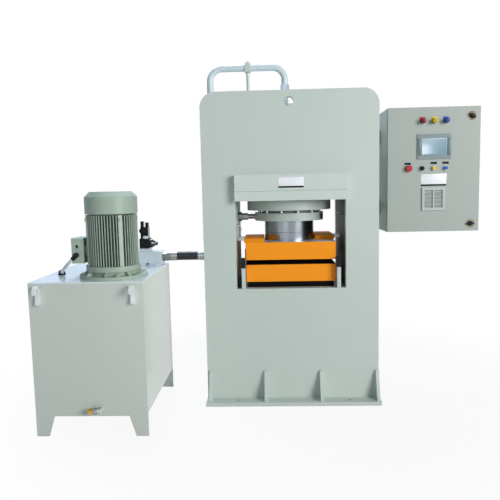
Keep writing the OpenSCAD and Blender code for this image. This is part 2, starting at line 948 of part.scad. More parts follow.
// Bell housing under the lid with the pump, its suction pipe and strainer
module gear_pump() {
    color(dark_steel) translate([motor_x, motor_y, lid_z]) {
        difference() {
            union() {
                bar_z(bell_flange_d, 0, 0, -bell_t, 0);
                bar_z(bell_d, 0, 0, -bell_h, 0);
            }
            bar_z(bell_d - 2 * bell_t, 0, 0, bell_t - bell_h, cut);
        }
        block([-pump_w / 2, -pump_d / 2, -bell_h - pump_h], [pump_w / 2, pump_d / 2, -bell_h]);
        bar_z(suction_d, 0, 0, -bell_h - pump_h - suction_l, -bell_h - pump_h);
        bar_z(strainer_d, 0, 0, -bell_h - pump_h - suction_l - strainer_h, -bell_h - pump_h - suction_l);
    }
}

// Cast mounting flange with its ribbed foot and end shield
module motor_flange() {
    color(motor_paint) translate([motor_x, motor_y, tank_h]) difference() {
        union() {
            bar_z(motor_flange_d, 0, 0, 0, flange_t);
            bar_z(foot_d, 0, 0, flange_t, flange_t + foot_h);
            bar_z(shield_d, 0, 0, flange_t + foot_h, flange_t + foot_h + shield_h);
            for (i = [0 : rib_count - 1]) rotate(i * 360 / rib_count)
                translate([0, rib_t / 2, flange_t]) rotate([90, 0, 0]) linear_extrude(rib_t)
                    polygon([[foot_d / 2 - rib_t, -sink], [motor_flange_d / 2 - flange_t, -sink],
                        [motor_flange_d / 2 - flange_t, sink], [shield_d / 2 - sink, foot_h + sink],
                        [foot_d / 2 - rib_t, foot_h + sink]]);
            for (i = [0 : rib_count / 2 - 1]) rotate((i + 0.25) * 720 / rib_count)
                translate([flange_bolt_r, 0, flange_t - sink])
                    cylinder(d = flange_bolt_d, h = flange_bolt_h + sink, $fn = 6);
        }
        bar_z(shaft_d + 2 * run_gap, 0, 0, -cut, flange_t + foot_h + shield_h + cut);
    }
}

// Finned stator frame with the upper end shield that carries the cowl
module motor_frame() {
    core_r = motor_d / 2 - fin_h;
    color(motor_paint) translate([motor_x, motor_y, 0]) difference() {
        union() {
            translate([0, 0, motor_z]) linear_extrude(motor_h) {
                circle(r = core_r);
                for (i = [0 : fin_count - 1]) rotate(i * 360 / fin_count)
                    translate([0, -fin_t / 2]) square([motor_d / 2, fin_t]);
                for (i = [0 : 3]) rotate(lug_angle + i * 90)
                    translate([0, -lug_w / 2]) square([motor_d / 2 + lug_proud, lug_w]);
            }
            for (i = [0 : 3]) rotate(lug_angle + i * 90)
                bar_x(lug_bolt_d, 0, motor_d / 2 + lug_proud + lug_bolt_h, 0, frame_top - lug_bolt_drop);
            block([-motor_d / 2 - box_seat, -box_d * seat_share, box_z + box_h * seat_share],
                [-core_r * seat_share, box_d * seat_share, box_z + box_h - box_h * seat_share]);
            bar_z(2 * core_r, 0, 0, frame_top, frame_top + end_shield_h);
            intersection() {
                bar_z(cowl_d - 2 * cowl_t, 0, 0, frame_top + cowl_lift, frame_top + end_shield_h);
                for (i = [0 : 1]) rotate(lug_angle + i * 90)
                    block([-cowl_d / 2, -ear_w / 2, frame_top],
                        [cowl_d / 2, ear_w / 2, frame_top + end_shield_h]);
            }
        }
        bar_z(stator_d, 0, 0, motor_z - cut, frame_top - end_shield_h);
        bar_z(shaft_d + 2 * run_gap, 0, 0, motor_z, frame_top + end_shield_h + cut);
    }
}

// Pressed cowl with a ring grille over the fan
module fan_cowl() {
    r = cowl_d / 2;
    color(motor_paint) translate([motor_x, motor_y, cowl_z]) difference() {
        rotate_extrude() polygon([[r, 0], [r, cowl_h - cowl_chamfer], [r - cowl_chamfer, cowl_h], [0, cowl_h],
            [0, cowl_h - cowl_t], [r - cowl_chamfer - cowl_t / 2, cowl_h - cowl_t],
            [r - cowl_t, cowl_h - cowl_chamfer - cowl_t / 2], [r - cowl_t, 0]]);
        difference() {
            for (i = [0 : grille_rings - 1]) difference() {
                bar_z(2 * (grille_r0 + i * grille_step), 0, 0, cowl_h - cowl_t - cut, cowl_h + cut);
                bar_z(2 * (grille_r0 + i * grille_step - grille_slot), 0, 0,
                    cowl_h - cowl_t - 2 * cut, cowl_h + 2 * cut);
            }
            for (i = [0 : 1]) rotate(i * 90 + lug_angle)
                block([-r, -spoke_w / 2, cowl_h - cowl_t - 2 * cut], [r, spoke_w / 2, cowl_h + 2 * cut]);
        }
    }
}

// Shaft with the rotor core and the pump coupling
module motor_rotor() {
    color(bright_steel) translate([motor_x, motor_y, 0]) {
        bar_z(shaft_d, 0, 0, lid_z - shaft_drop, cowl_z + cowl_h - cowl_chamfer);
        bar_z(stator_d - 2 * rotor_gap, 0, 0, motor_z + rotor_inset, frame_top - end_shield_h - rotor_inset);
        bar_z(coupling_d, 0, 0, lid_z - shaft_drop, lid_z - shaft_drop + coupling_h);
    }
}

module motor_fan() {
    z = frame_top + end_shield_h + fan_lift;
    color(black_rubber) translate([motor_x, motor_y, z]) difference() {
        union() {
            bar_z(fan_hub_d, 0, 0, 0, fan_h);
            for (i = [0 : blade_count - 1]) rotate(i * 360 / blade_count)
                block([fan_hub_d / 2 - sink, -blade_t / 2, sink], [fan_d / 2, blade_t / 2, fan_h - sink]);
        }
        bar_z(shaft_d, 0, 0, -cut, fan_h + cut);
    }
}

// Terminal box on the frame's seat, with its lid and two conduit entries
box_x1 = motor_x - motor_d / 2 - box_seat;
box_x0 = box_x1 - box_w;
box_y = motor_y - box_d / 2;
box_z = motor_z + box_lift;

module terminal_box() {
    color(motor_paint) difference() {
        union() {
            block([box_x0 + box_lid_t, box_y, box_z], [box_x1, box_y + box_d, box_z + box_h]);
            block([box_x0, box_y - run_gap, box_z - run_gap],
                [box_x0 + box_lid_t, box_y + box_d + run_gap, box_z + box_h + run_gap]);
        }
        for (h = [entry_low, entry_high])
            bar_y(entry_d, box_x0 + entry_set, box_y - cut, box_y + box_d / 4, box_z + h);
    }
}

// Elbow gland's end, the middle of the boot at the conduit's far end, and the path between them
gland_at = [box_x0 + entry_set, box_y, box_z + entry_low];
conduit_from = gland_at + [-gland_nut_l, -gland_nut_d / 2, -gland_nut_l];
conduit_to = [conduit_from[0] - outlet_left, conduit_from[1] + outlet_back, tank_h + outlet_h];
conduit_path = concat([for (place = conduit_route) conduit_from + place], [conduit_to]);

function unit(v) = v / norm(v);

// Circle of points square to the path at its place i
function ring(path, i, r, sides) = let(
    along = unit(path[min(i + 1, len(path) - 1)] - path[max(i - 1, 0)]),
    across = unit(cross(along, [0, 1, 0])),
    up = cross(along, across)) [for (k = [0 : sides - 1])
        path[i] + r * (cos(360 * k / sides) * across + sin(360 * k / sides) * up)];

module swept_tube(path, r, sides) {
    last = len(path) - 1;
    points = [for (i = [0 : last]) each ring(path, i, r, sides)];
    walls = [for (i = [0 : last - 1], k = [0 : sides - 1])
        [i * sides + k, i * sides + (k + 1) % sides, (i + 1) * sides + (k + 1) % sides, (i + 1) * sides + k]];
    ends = [[for (k = [sides - 1 : -1 : 0]) k], [for (k = [0 : sides - 1]) last * sides + k]];
    polyhedron(points, concat(walls, ends));
}

module motor_conduit() {
    color("#8d9298") swept_tube(conduit_path, conduit_d / 2, conduit_sides);
}

// Elbow gland on the terminal box and the conduit's rubber boot on the tank lid
module cable_glands() {
    color(black_rubber) {
        bar_y(entry_d, gland_at[0], gland_at[1] - gland_nut_d / 2, gland_at[1] + entry_d / 2, gland_at[2]);
        translate(gland_at - [0, gland_nut_d / 2, 0]) {
            sphere(d = gland_ball_d);
            rotate([0, -135, 0]) cylinder(d = gland_nut_d, h = gland_nut_l * sqrt(2));
        }
        translate([conduit_to[0], conduit_to[1], tank_h]) cylinder(d1 = boot_d, d2 = boot_top_d, h = boot_h);
    }
}

// Drilled manifold on two pads, with a sandwich plate under the valves
manifold_x1 = tank_x1 - manifold_inset;
manifold_x0 = manifold_x1 - manifold_w;
manifold_y0 = line_y - manifold_d / 2;
manifold_z = tank_h + pad_h;
valve_x = manifold_x0 + sandwich_w / 2;
valve_z = manifold_z + manifold_h + sandwich_h;

module manifold_block() {
    color(press_paint) {
        block([manifold_x0, manifold_y0, manifold_z],
            [manifold_x1, manifold_y0 + manifold_d, manifold_z + manifold_h]);
        for (x = [manifold_x0, manifold_x1 - pad_w])
            block([x, manifold_y0, tank_h], [x + pad_w, manifold_y0 + manifold_d, manifold_z]);
        translate([manifold_x0, line_y - sandwich_d / 2, manifold_z + manifold_h])
            cube([sandwich_w, sandwich_d, sandwich_h]);
    }
}

// Solenoid valve with its coil to the right, and a smaller pilot valve with two plugs on top
module valve_stack() {
    top = valve_z + valve_h;
    color(black_rubber) {
        block([valve_x - valve_w / 2, line_y - valve_d / 2, valve_z],
            [valve_x + valve_w / 2, line_y + valve_d / 2, top]);
        translate([valve_x + valve_w / 2, line_y, valve_z + valve_h / 2]) rotate([0, 90, 0]) {
            cylinder(d = coil_d, h = coil_l);
            translate([0, 0, coil_l]) cylinder(d1 = coil_d, d2 = coil_nut_d, h = coil_taper);
            translate([0, 0, coil_l + coil_taper]) cylinder(d = coil_nut_d, h = coil_nut_l, $fn = 6);
        }
        block([valve_x - pilot_w / 2, line_y - pilot_d / 2, top],
            [valve_x + pilot_w / 2, line_y + pilot_d / 2, top + pilot_h]);
        bar_y(pilot_coil_d, valve_x - pilot_w / 4, line_y - pilot_d / 2 - coil_nut_l, line_y,
            top + pilot_coil_h);
        bar_y(knob_d, valve_x - pilot_w / 4, line_y - pilot_d / 2 - knob_l, line_y, top + pilot_coil_h);
        for (i = [0 : plug_count - 1])
            translate([valve_x - pilot_w / 2 + i * (pilot_w - plug_w), line_y - plug_d / 2, top + pilot_h])
                cube([plug_w, plug_d, plug_h - i * plug_step]);
    }
}

// Sheet enclosure with a returned rim, a sealing lip and two hinge pins
module panel_box() {
    x1 = panel_x + panel_w;
    y1 = panel_y + panel_d;
    rim_y = panel_y + rim_set;
    color(panel_paint) {
        difference() {
            block([panel_x, rim_y, panel_z], [x1, y1, panel_top]);
            block([panel_x + panel_t, rim_y + panel_t, panel_z + panel_t],
                [x1 - panel_t, y1 - panel_t, panel_top - panel_t]);
            block([panel_x + rim_w, rim_y - cut, panel_z + rim_w],
                [x1 - rim_w, rim_y + panel_t + cut, panel_top - rim_w]);
        }
        difference() {
            block([panel_x + lip_inset, panel_y + lip_set, panel_z + lip_inset],
                [x1 - lip_inset, rim_y, panel_top - lip_inset]);
            block([panel_x + lip_inset + panel_t, panel_y, panel_z + lip_inset + panel_t],
                [x1 - lip_inset - panel_t, rim_y + cut, panel_top - lip_inset - panel_t]);
        }
        for (share = hinge_shares) {
            z = panel_z + share * panel_h;
            bar_z(hinge_pin_d, hinge_x, hinge_y, z - hinge_eye_h / 2 - hinge_arm_h,
                z + hinge_eye_h / 2 + hinge_arm_h);
            for (end = [-hinge_arm_h - run_gap, hinge_eye_h + run_gap])
                block([hinge_x - hinge_arm_w / 2, hinge_y - hinge_pin_d / 2, z - hinge_eye_h / 2 + end],
                    [hinge_x + hinge_arm_w / 2, rim_y, z - hinge_eye_h / 2 + end + hinge_arm_h]);
        }
    }
}

// Round hole through the door's sheet
module door_hole(d, x, h) {
    bar_y(d, panel_x + x, panel_y - cut, door_in + cut, panel_z + h);
}

module panel_door() {
    x1 = panel_x + panel_w;
    color(panel_paint) difference() {
        union() {
            difference() {
                block([panel_x, panel_y, panel_z], [x1, panel_y + door_fold, panel_top]);
                block([panel_x + panel_t, door_in, panel_z + panel_t],
                    [x1 - panel_t, panel_y + door_fold + cut, panel_top - panel_t]);
                block([panel_x - cut, panel_y + hinge_fold, panel_z - cut],
                    [panel_x + lip_inset, panel_y + door_fold + cut, panel_top + cut]);
                for (share = hinge_shares)
                    block([panel_x - cut, door_in, panel_z + share * panel_h - hinge_notch / 2],
                        [hinge_x, panel_y + door_fold + cut, panel_z + share * panel_h + hinge_notch / 2]);
            }
            for (share = hinge_shares) {
                z = panel_z + share * panel_h;
                bar_z(hinge_eye_d, hinge_x, hinge_y, z - hinge_eye_h / 2, z + hinge_eye_h / 2);
                block([hinge_x - hinge_eye_d / 2, panel_y, z - hinge_eye_h / 2],
                    [hinge_x + hinge_eye_d / 2, hinge_y, z + hinge_eye_h / 2]);
            }
        }
        for (share = hinge_shares)
            bar_z(hinge_pin_d + 2 * run_gap, hinge_x, hinge_y, panel_z + share * panel_h - hinge_eye_h,
                panel_z + share * panel_h + hinge_eye_h);
        for (i = [0 : 2]) {
            door_hole(thread_d, column_x + i * column_pitch, lamp_h);
            door_hole(thread_d, column_x + i * column_pitch, button_h);
        }
        door_hole(thread_d, estop_x, button_h);
        door_hole(lock_barrel_d + 2 * run_gap, lock_x, lock_low);
        door_hole(lock_barrel_d + 2 * run_gap, lock_x, lock_high);
        translate([centre_x, 0, panel_z + screen_mid])
            block([body_inset - screen_w / 2, panel_y - cut, body_inset - screen_h / 2],
                [screen_w / 2 - body_inset, door_in + cut, screen_h / 2 - body_inset]);
        translate([centre_x, 0, panel_z + filter_mid])
            block([filter_border - filter_w / 2, panel_y - cut, filter_border - filter_w / 2],
                [filter_w / 2 - filter_border, door_in + cut, filter_w / 2 - filter_border]);
    }
}

// Touch screen with a raised frame and its body behind the door
module screen_frame() {
    color(dark_steel) translate([centre_x, panel_y, panel_z + screen_mid]) {
        difference() {
            block([-screen_w / 2, -screen_t, -screen_h / 2], [screen_w / 2, 0, screen_h / 2]);
            block([screen_border - screen_w / 2, -screen_t - cut, screen_border - screen_h / 2],
                [screen_w / 2 - screen_border, screen_recess - screen_t, screen_h / 2 - screen_border]);
        }
        block([body_inset - screen_w / 2, 0, body_inset - screen_h / 2],
            [screen_w / 2 - body_inset, screen_body_t, screen_h / 2 - body_inset]);
    }
}

// Tall lamp with its collar, bevelled lens and threaded body
module lamp(x) {
    lens_d = lamp_d - bezel_grow;
    translate([panel_x + x, panel_y, panel_z + lamp_h]) rotate([90, 0, 0]) {
        cylinder(d = lamp_d, h = bezel_t);
        cylinder(d = lens_d, h = lens_l - lens_bevel);
        translate([0, 0, lens_l - lens_bevel])
            cylinder(d1 = lens_d, d2 = lens_d - 2 * lens_bevel, h = lens_bevel);
        translate([0, 0, -thread_l]) cylinder(d = thread_d, h = thread_l);
    }
}

module pilot_lamps() {
    color("#d8403a") for (i = [0 : 2]) lamp(column_x + i * column_pitch);
}

// Collar of a push button or switch, bored for its moving stem
module bezel(x, d, stem) {
    translate([panel_x + x, panel_y, panel_z + button_h]) rotate([90, 0, 0]) difference() {
        union() {
            cylinder(d = d + bezel_grow, h = bezel_t);
            translate([0, 0, -thread_l]) cylinder(d = thread_d, h = thread_l);
        }
        translate([0, 0, -cap_travel - cap_t]) cylinder(d = stem, h = thread_l);
        translate([0, 0, -thread_l - cut]) cylinder(d = bezel_t, h = thread_l);
    }
}

module button_bezels() {
    color(dark_steel) {
        for (i = [0 : 2]) bezel(column_x + i * column_pitch, button_d, stem_d);
        bezel(estop_x, estop_d, stem_d);
    }
}

// Louvred filter cover over the vent in the door
module filter_grille() {
    pitch = (filter_w - 2 * filter_border) / louvre_count;
    color(panel_paint) translate([centre_x, panel_y, panel_z + filter_mid]) difference() {
        block([-filter_w / 2, -filter_t, -filter_w / 2], [filter_w / 2, 0, filter_w / 2]);
        for (i = [0 : louvre_count - 1]) for (side = [-1, 1])
            translate([side * (filter_w / 2 - filter_border + louvre_bar / 2) / 2, -filter_t / 2,
                filter_border - filter_w / 2 + (i + 0.5) * pitch])
                cube([(filter_w - 2 * filter_border - louvre_bar) / 2, filter_t + 2 * cut,
                    pitch - louvre_bar / 2], center = true);
    }
}

// Moving stem and cap in front of a bezel
module cap_at(x, h) {
    translate([panel_x + x, panel_y - bezel_t, panel_z + h]) rotate([90, 0, 0]) children();
}

module estop_head() {
    color("#c8272b") cap_at(estop_x, button_h) {
        translate([0, 0, -stem_in]) cylinder(d = stem_d - 2 * run_gap, h = estop_neck + stem_in);
        translate([0, 0, estop_neck - estop_t]) {
            cylinder(d1 = estop_d - bezel_t, d2 = estop_d, h = estop_t / 2);
            translate([0, 0, estop_t / 2])
                cylinder(d1 = estop_d, d2 = estop_d - estop_t / 2, h = estop_t / 2);
        }
    }
}

module selector_knob() {
    color(black_rubber) cap_at(column_x, button_h) {
        translate([0, 0, run_gap]) cylinder(d = button_d, h = selector_t);
        translate([0, 0, -stem_in]) cylinder(d = stem_d - 2 * run_gap, h = stem_in + selector_t);
        translate([-selector_bar / 2, -button_d / 2 + run_gap, selector_t])
            cube([selector_bar, button_d - 2 * run_gap, selector_bar_h]);
    }
}

module push_button(x) {
    cap_at(x, button_h) {
        translate([0, 0, -stem_in]) cylinder(d = stem_d - 2 * run_gap, h = stem_in + cap_travel + cap_t / 2);
        translate([0, 0, cap_travel]) cylinder(d = button_d - bezel_t, h = cap_t);
    }
}

module yellow_button() {
    color("#f0c419") push_button(column_x + column_pitch);
}

module blue_button() {
    color("#2b5fb3") push_button(column_x + 2 * column_pitch);
}

// Quarter-turn lock: rim disc, hub with a tapered wing, and barrel through the door
module lock(h, turn) {
    translate([panel_x + lock_x, panel_y, panel_z + h]) rotate([90, 0, 0]) {
        translate([0, 0, run_gap]) cylinder(d = lock_rim_d, h = lock_rim_t);
        translate([0, 0, lock_rim_t]) cylinder(d1 = lock_hub_d, d2 = lock_wing, h = lock_knob_t + lock_rim_t);
        rotate(turn) translate([0, 0, lock_rim_t]) linear_extrude(lock_knob_t) polygon([
            [-lock_wing / 2, 0], [-lock_tip / 2, lock_d / 2], [lock_tip / 2, lock_d / 2],
            [lock_wing / 2, 0], [lock_tip / 2, -lock_d / 2], [-lock_tip / 2, -lock_d / 2]]);
        translate([0, 0, -lock_barrel_l]) cylinder(d = lock_barrel_d, h = lock_barrel_l + lock_rim_t);
    }
}

module top_lock() {
    color(black_rubber) lock(lock_high, top_turn);
}

module bottom_lock() {
    color(black_rubber) lock(lock_low, low_turn);
}

// Square arms with end pads from the right outer web to the panel's side
module panel_brackets() {
    y = panel_y + panel_d - bracket_w / 2 - bracket_set;
    color(press_paint) for (share = bracket_shares) {
        z = panel_z + share * panel_h;
        block([outer_web_x, y - bracket_w / 2, z - bracket_w / 2],
            [panel_x, y + bracket_w / 2, z + bracket_w / 2]);
        block([outer_web_x, y - bracket_w / 2, z - bracket_pad / 2],
            [outer_web_x + bracket_pad_t, y + bracket_w / 2, z + bracket_pad / 2]);
        block([panel_x - bracket_pad_t, y - bracket_w / 2, z - bracket_pad / 2],
            [panel_x, y + bracket_w / 2, z + bracket_pad / 2]);
    }
}

front_plate();
rear_plate();
inner_webs();
outer_webs();
base_plate();
foot_gussets();
top_bolster();
bed_plate();
crown_plate();
cylinder_barrel();
gland_ring();
gland_bolts();
retract_fitting();
ram();
ram_adapter();
guide_wings();
guide_shoes();
upper_platen();
lower_platen();
insulation_board();
stop_posts();
post_caps();
heater_terminal();
limit_switch();
limit_lever();
pressure_pipe();
pipe_nuts();
pipe_clamps();
pressure_hose();
hose_ferrules();
tank_front_plate();
tank_rear_plate();
tank_shell();
tank_lid();
lifting_hooks();
drain_plug();
gear_pump();
motor_flange();
motor_frame();
fan_cowl();
motor_rotor();
motor_fan();
terminal_box();
cable_glands();
motor_conduit();
manifold_block();
valve_stack();
panel_box();
panel_door();
screen_frame();
pilot_lamps();
button_bezels();
filter_grille();
estop_head();
selector_knob();
yellow_button();
blue_button();
top_lock();
bottom_lock();
panel_brackets();
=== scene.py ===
"""Finishes and small fittings of a compression moulding press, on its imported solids."""

import math

import bpy
from mathutils import Matrix, Vector


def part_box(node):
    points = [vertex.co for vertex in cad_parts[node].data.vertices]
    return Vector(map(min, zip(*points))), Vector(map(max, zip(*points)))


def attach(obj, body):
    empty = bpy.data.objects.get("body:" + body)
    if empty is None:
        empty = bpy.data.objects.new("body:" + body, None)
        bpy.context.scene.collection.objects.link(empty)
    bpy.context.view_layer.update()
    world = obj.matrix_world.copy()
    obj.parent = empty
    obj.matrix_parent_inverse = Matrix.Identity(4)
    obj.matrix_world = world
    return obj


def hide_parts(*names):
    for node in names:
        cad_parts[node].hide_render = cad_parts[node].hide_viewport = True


bl_info = {
    "name": "Compression moulding press",
    "version": (1, 0, 0),
    "blender": (4, 5, 0),
    "location": "View3D > Sidebar > Press",
    "description": "Paint, metal and plastic finishes and small fittings of a moulding press",
    "category": "Object",
}

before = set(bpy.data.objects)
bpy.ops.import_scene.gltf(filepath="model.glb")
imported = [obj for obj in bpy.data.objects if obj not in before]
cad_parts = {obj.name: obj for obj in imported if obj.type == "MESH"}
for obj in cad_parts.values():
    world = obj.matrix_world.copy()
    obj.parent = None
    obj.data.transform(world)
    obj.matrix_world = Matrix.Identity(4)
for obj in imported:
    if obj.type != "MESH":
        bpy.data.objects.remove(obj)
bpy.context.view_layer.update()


def linear(code):
    """A hex sRGB code as linear red, green and blue."""
    parts = [int(code[i:i + 2], 16) / 255 for i in (1, 3, 5)]
    return [p / 12.92 if p <= 0.04045 else ((p + 0.055) / 1.055) ** 2.4 for p in parts]


def tint(title, note, code):
    """A colour that a user may change."""
    return bpy.props.FloatVectorProperty(
        name=title, description=note, subtype="COLOR", size=3, min=0, max=1, default=linear(code))


def length(title, note, metres):
    """A size that a user may change."""
    return bpy.props.FloatProperty(
        name=title, description=note, unit="LENGTH", min=0, default=metres)


class PressColours(bpy.types.PropertyGroup):
    """Colours of the paints, plastics and metals"""
    frame_paint: tint("Frame paint", "Enamel on the press frame", "#c3cec6")
    tank_paint: tint("Tank paint", "Enamel on the oil tank", "#c9d1c8")
    motor_paint: tint("Motor paint", "Enamel on the motor", "#9fb0a0")
    panel_paint: tint("Panel paint", "Powder coat on the control panel", "#a4aca4")
    platen_paint: tint("Platen paint", "Heat-proof enamel on the platens", "#ff9a16")
    red: tint("Red", "Emergency stop and red lamp", "#b8292f")
    yellow: tint("Yellow", "Yellow lamp and button", "#eec21d")
    blue: tint("Blue", "Blue lamp and button", "#1d57ac")
    brass: tint("Brass", "Drain plug and lock rings", "#c39a4a")


class PressSizes(bpy.types.PropertyGroup):
    """Sizes of the fittings that are modelled here"""
    plate_w: length("Plate width", "Width of the bare plate on the bolster", 0.155)
    plate_h: length("Plate height", "Height of the bare plate on the bolster", 0.064)
    door_plate_w: length("Door plate width", "Width of the bare plate on the door", 0.163)
    door_plate_h: length("Door plate height", "Height of the bare plate on the door", 0.077)
    legend_w: length("Legend width", "Width of a legend plate", 0.040)
    legend_h: length("Legend height", "Height of a legend plate", 0.014)
    rib_pitch: length("Conduit rib pitch", "Spacing of the conduit's ribs", 0.005)
    gusset_t: length("Gusset thickness", "Thickness of the foot gussets between their welds", 0.020)
    ferrule_d: length("Ferrule diameter", "Diameter of the hose ferrules under their crimp rings", 0.062)


# Materials: one node with its settings and links at a time

def put(tree, kind, links=None, **settings):
    """Adds a node; links maps a socket to a value or to another node's output."""
    made = tree.nodes.new(kind)
    for key, value in settings.items():
        setattr(made, key, value)
    for key, value in (links or {}).items():
        if isinstance(value, bpy.types.NodeSocket):
            tree.links.new(value, made.inputs[key])
        else:
            made.inputs[key].default_value = value
    return made


def begin(name):
    """An empty material with its output, and the object coordinates in metres."""
    made = bpy.data.materials.new(name)
    made.use_nodes = True
    tree = made.node_tree
    tree.nodes.clear()
    out = put(tree, "ShaderNodeOutputMaterial")
    return made, tree, out, put(tree, "ShaderNodeTexCoord").outputs["Object"]


def shade(colour, factor):
    """A colour made lighter or darker, as a socket's value."""
    return [min(1.0, c * factor) for c in colour] + [1.0]


# Rounding of a plate's edges, for the light that they catch
PLATE_EDGE = 0.0025
# A wave texture's bands repeat every 0.314 units at scale 1
WAVE_STEP = 0.314
# Heights between which the touch glass's painted reflection grows lighter: its lower and upper edge
PANE_FOOT, PANE_HEAD = 1.567, 1.672


def sprayed(name, colour, rough=0.38, peel=0.006, depth=0.0004, spread=0.05, sheen=0.5, face=None,
            shaded_gaps=None, over=None):
    """Two-pack enamel sprayed on steel: an even satin skin with orange peel, soft tone changes and scuffs."""
    made, tree, out, place = begin(name)
    # Tone drifts over about half a metre, as the gun's passes overlap
    drift = put(tree, "ShaderNodeTexNoise", {"Vector": place, "Scale": 2.1, "Detail": 3.0})
    tone = put(tree, "ShaderNodeMix", {"Factor": drift.outputs["Fac"], "A": shade(colour, 1 - spread),
                                       "B": shade(colour, 1 + spread)}, data_type="RGBA")
    # Short rubbed marks, 5 mm by 60 mm, from handling
    laid = put(tree, "ShaderNodeMapping", {"Vector": place, "Scale": (16.0, 16.0, 180.0)})
    rubs = put(tree, "ShaderNodeTexNoise", {"Vector": laid.outputs["Vector"], "Scale": 1.0, "Detail": 4.0})
    worn = put(tree, "ShaderNodeMapRange", {"Value": rubs.outputs["Fac"], "From Min": 0.66, "From Max": 0.8,
                                            "To Min": 0.0, "To Max": 0.22})
    paint = put(tree, "ShaderNodeMix", {"Factor": worn.outputs["Result"], "A": tone.outputs["Result"],
                                        "B": shade(colour, 1.18)}, data_type="RGBA")
    if over:
        # The left half has the frame's enamel; the darker colour of the right half is painted shade
        sides = put(tree, "ShaderNodeSeparateXYZ", {"Vector": place})
        left = put(tree, "ShaderNodeMath", {0: sides.outputs["X"], 1: 0.0}, operation="LESS_THAN")
        paint = put(tree, "ShaderNodeMix", {"Factor": left.outputs["Value"], "A": paint.outputs["Result"],
                                            "B": shade(over, 1.0)}, data_type="RGBA")
    if shaded_gaps:
        # Painted shade between the fins: darker towards the core, by distance from its upright axis
        axis, core, tips = shaded_gaps
        offset = put(tree, "ShaderNodeVectorMath", {0: place, 1: (*axis, 0.0)}, operation="SUBTRACT")
        level = put(tree, "ShaderNodeVectorMath", {0: offset.outputs["Vector"], 1: (1.0, 1.0, 0.0)},
                    operation="MULTIPLY")
        away = put(tree, "ShaderNodeVectorMath", {0: level.outputs["Vector"]}, operation="LENGTH")
        painted_gap_shade = put(tree, "ShaderNodeMapRange", {"Value": away.outputs["Value"], "From Min": core,
                                                "From Max": tips, "To Min": 1.0, "To Max": 0.0})
        paint = put(tree, "ShaderNodeMix", {"Factor": painted_gap_shade.outputs["Result"], "A": paint.outputs["Result"],
                                            "B": shade(colour, 0.22)}, data_type="RGBA")
    gloss = put(tree, "ShaderNodeMapRange", {"Value": rubs.outputs["Fac"], "To Min": rough - 0.07,
                                             "To Max": rough + 0.1})
    # Orange peel, drawn at the coarse end of its real 2 to 6 mm so that it shows
    skin = put(tree, "ShaderNodeTexNoise", {"Vector": place, "Scale": 1 / peel, "Detail": 2.0})
    edge = put(tree, "ShaderNodeBevel", {"Radius": PLATE_EDGE}, samples=4)
    bump = put(tree, "ShaderNodeBump", {"Height": skin.outputs["Fac"], "Strength": 0.35, "Distance": depth,
                                        "Normal": edge.outputs["Normal"]})
    enamel = put(tree, "ShaderNodeBsdfPrincipled", {
        "Base Color": paint.outputs["Result"], "Roughness": gloss.outputs["Result"],
        "Normal": bump.outputs["Normal"], "IOR": 1.5, "Specular IOR Level": sheen})
    surface = enamel.outputs["BSDF"]
    if face:
        # The upper face is left unpainted, with fine parallel marks from grinding; the lower platen's is near
        # black with almost no reflection, painted shade
        bare, shine, smoothest, roughest, gleam = face
        lay = put(tree, "ShaderNodeMapping", {"Vector": place, "Scale": (4.0, 700.0, 4.0)})
        marks = put(tree, "ShaderNodeTexNoise", {"Vector": lay.outputs["Vector"], "Scale": 1.0,
                                                 "Detail": 2.0})
        dull = put(tree, "ShaderNodeMapRange", {"Value": marks.outputs["Fac"], "To Min": smoothest,
                                                "To Max": roughest})
        steel = put(tree, "ShaderNodeBsdfPrincipled", {
            "Base Color": linear(bare) + [1.0], "Metallic": shine, "Roughness": dull.outputs["Result"],
            "Specular IOR Level": gleam})
        normal = put(tree, "ShaderNodeNewGeometry").outputs["Normal"]
        facing = put(tree, "ShaderNodeSeparateXYZ", {"Vector": normal})
        upward = put(tree, "ShaderNodeMath", {0: facing.outputs["Z"], 1: 0.9}, operation="GREATER_THAN")
        surface = put(tree, "ShaderNodeMixShader", {"Fac": upward.outputs["Value"], 1: surface,
                                                    2: steel.outputs["BSDF"]}).outputs["Shader"]
    tree.links.new(surface, out.inputs["Surface"])
    return made


def metal(name, colour, rough, stretch=(6.0, 6.0, 900.0), spread=0.06):
    """Turned, honed or drawn metal: fine tool lines across one direction, with brighter and duller bands."""
    made, tree, out, place = begin(name)
    lay = put(tree, "ShaderNodeMapping", {"Vector": place, "Scale": stretch})
    lines = put(tree, "ShaderNodeTexNoise", {"Vector": lay.outputs["Vector"], "Scale": 1.0, "Detail": 3.0})
    tone = put(tree, "ShaderNodeMix", {"Factor": lines.outputs["Fac"], "A": shade(colour, 1 - spread),
                                       "B": shade(colour, 1 + spread)}, data_type="RGBA")
    dull = put(tree, "ShaderNodeMapRange", {"Value": lines.outputs["Fac"], "To Min": rough * 0.7,
                                            "To Max": rough * 1.4})
    bump = put(tree, "ShaderNodeBump", {"Height": lines.outputs["Fac"], "Strength": 0.1, "Distance": 0.0001})
    shader = put(tree, "ShaderNodeBsdfPrincipled", {
        "Base Color": tone.outputs["Result"], "Metallic": 1.0, "Roughness": dull.outputs["Result"],
        "Normal": bump.outputs["Normal"]})
    tree.links.new(shader.outputs["BSDF"], out.inputs["Surface"])
    return made


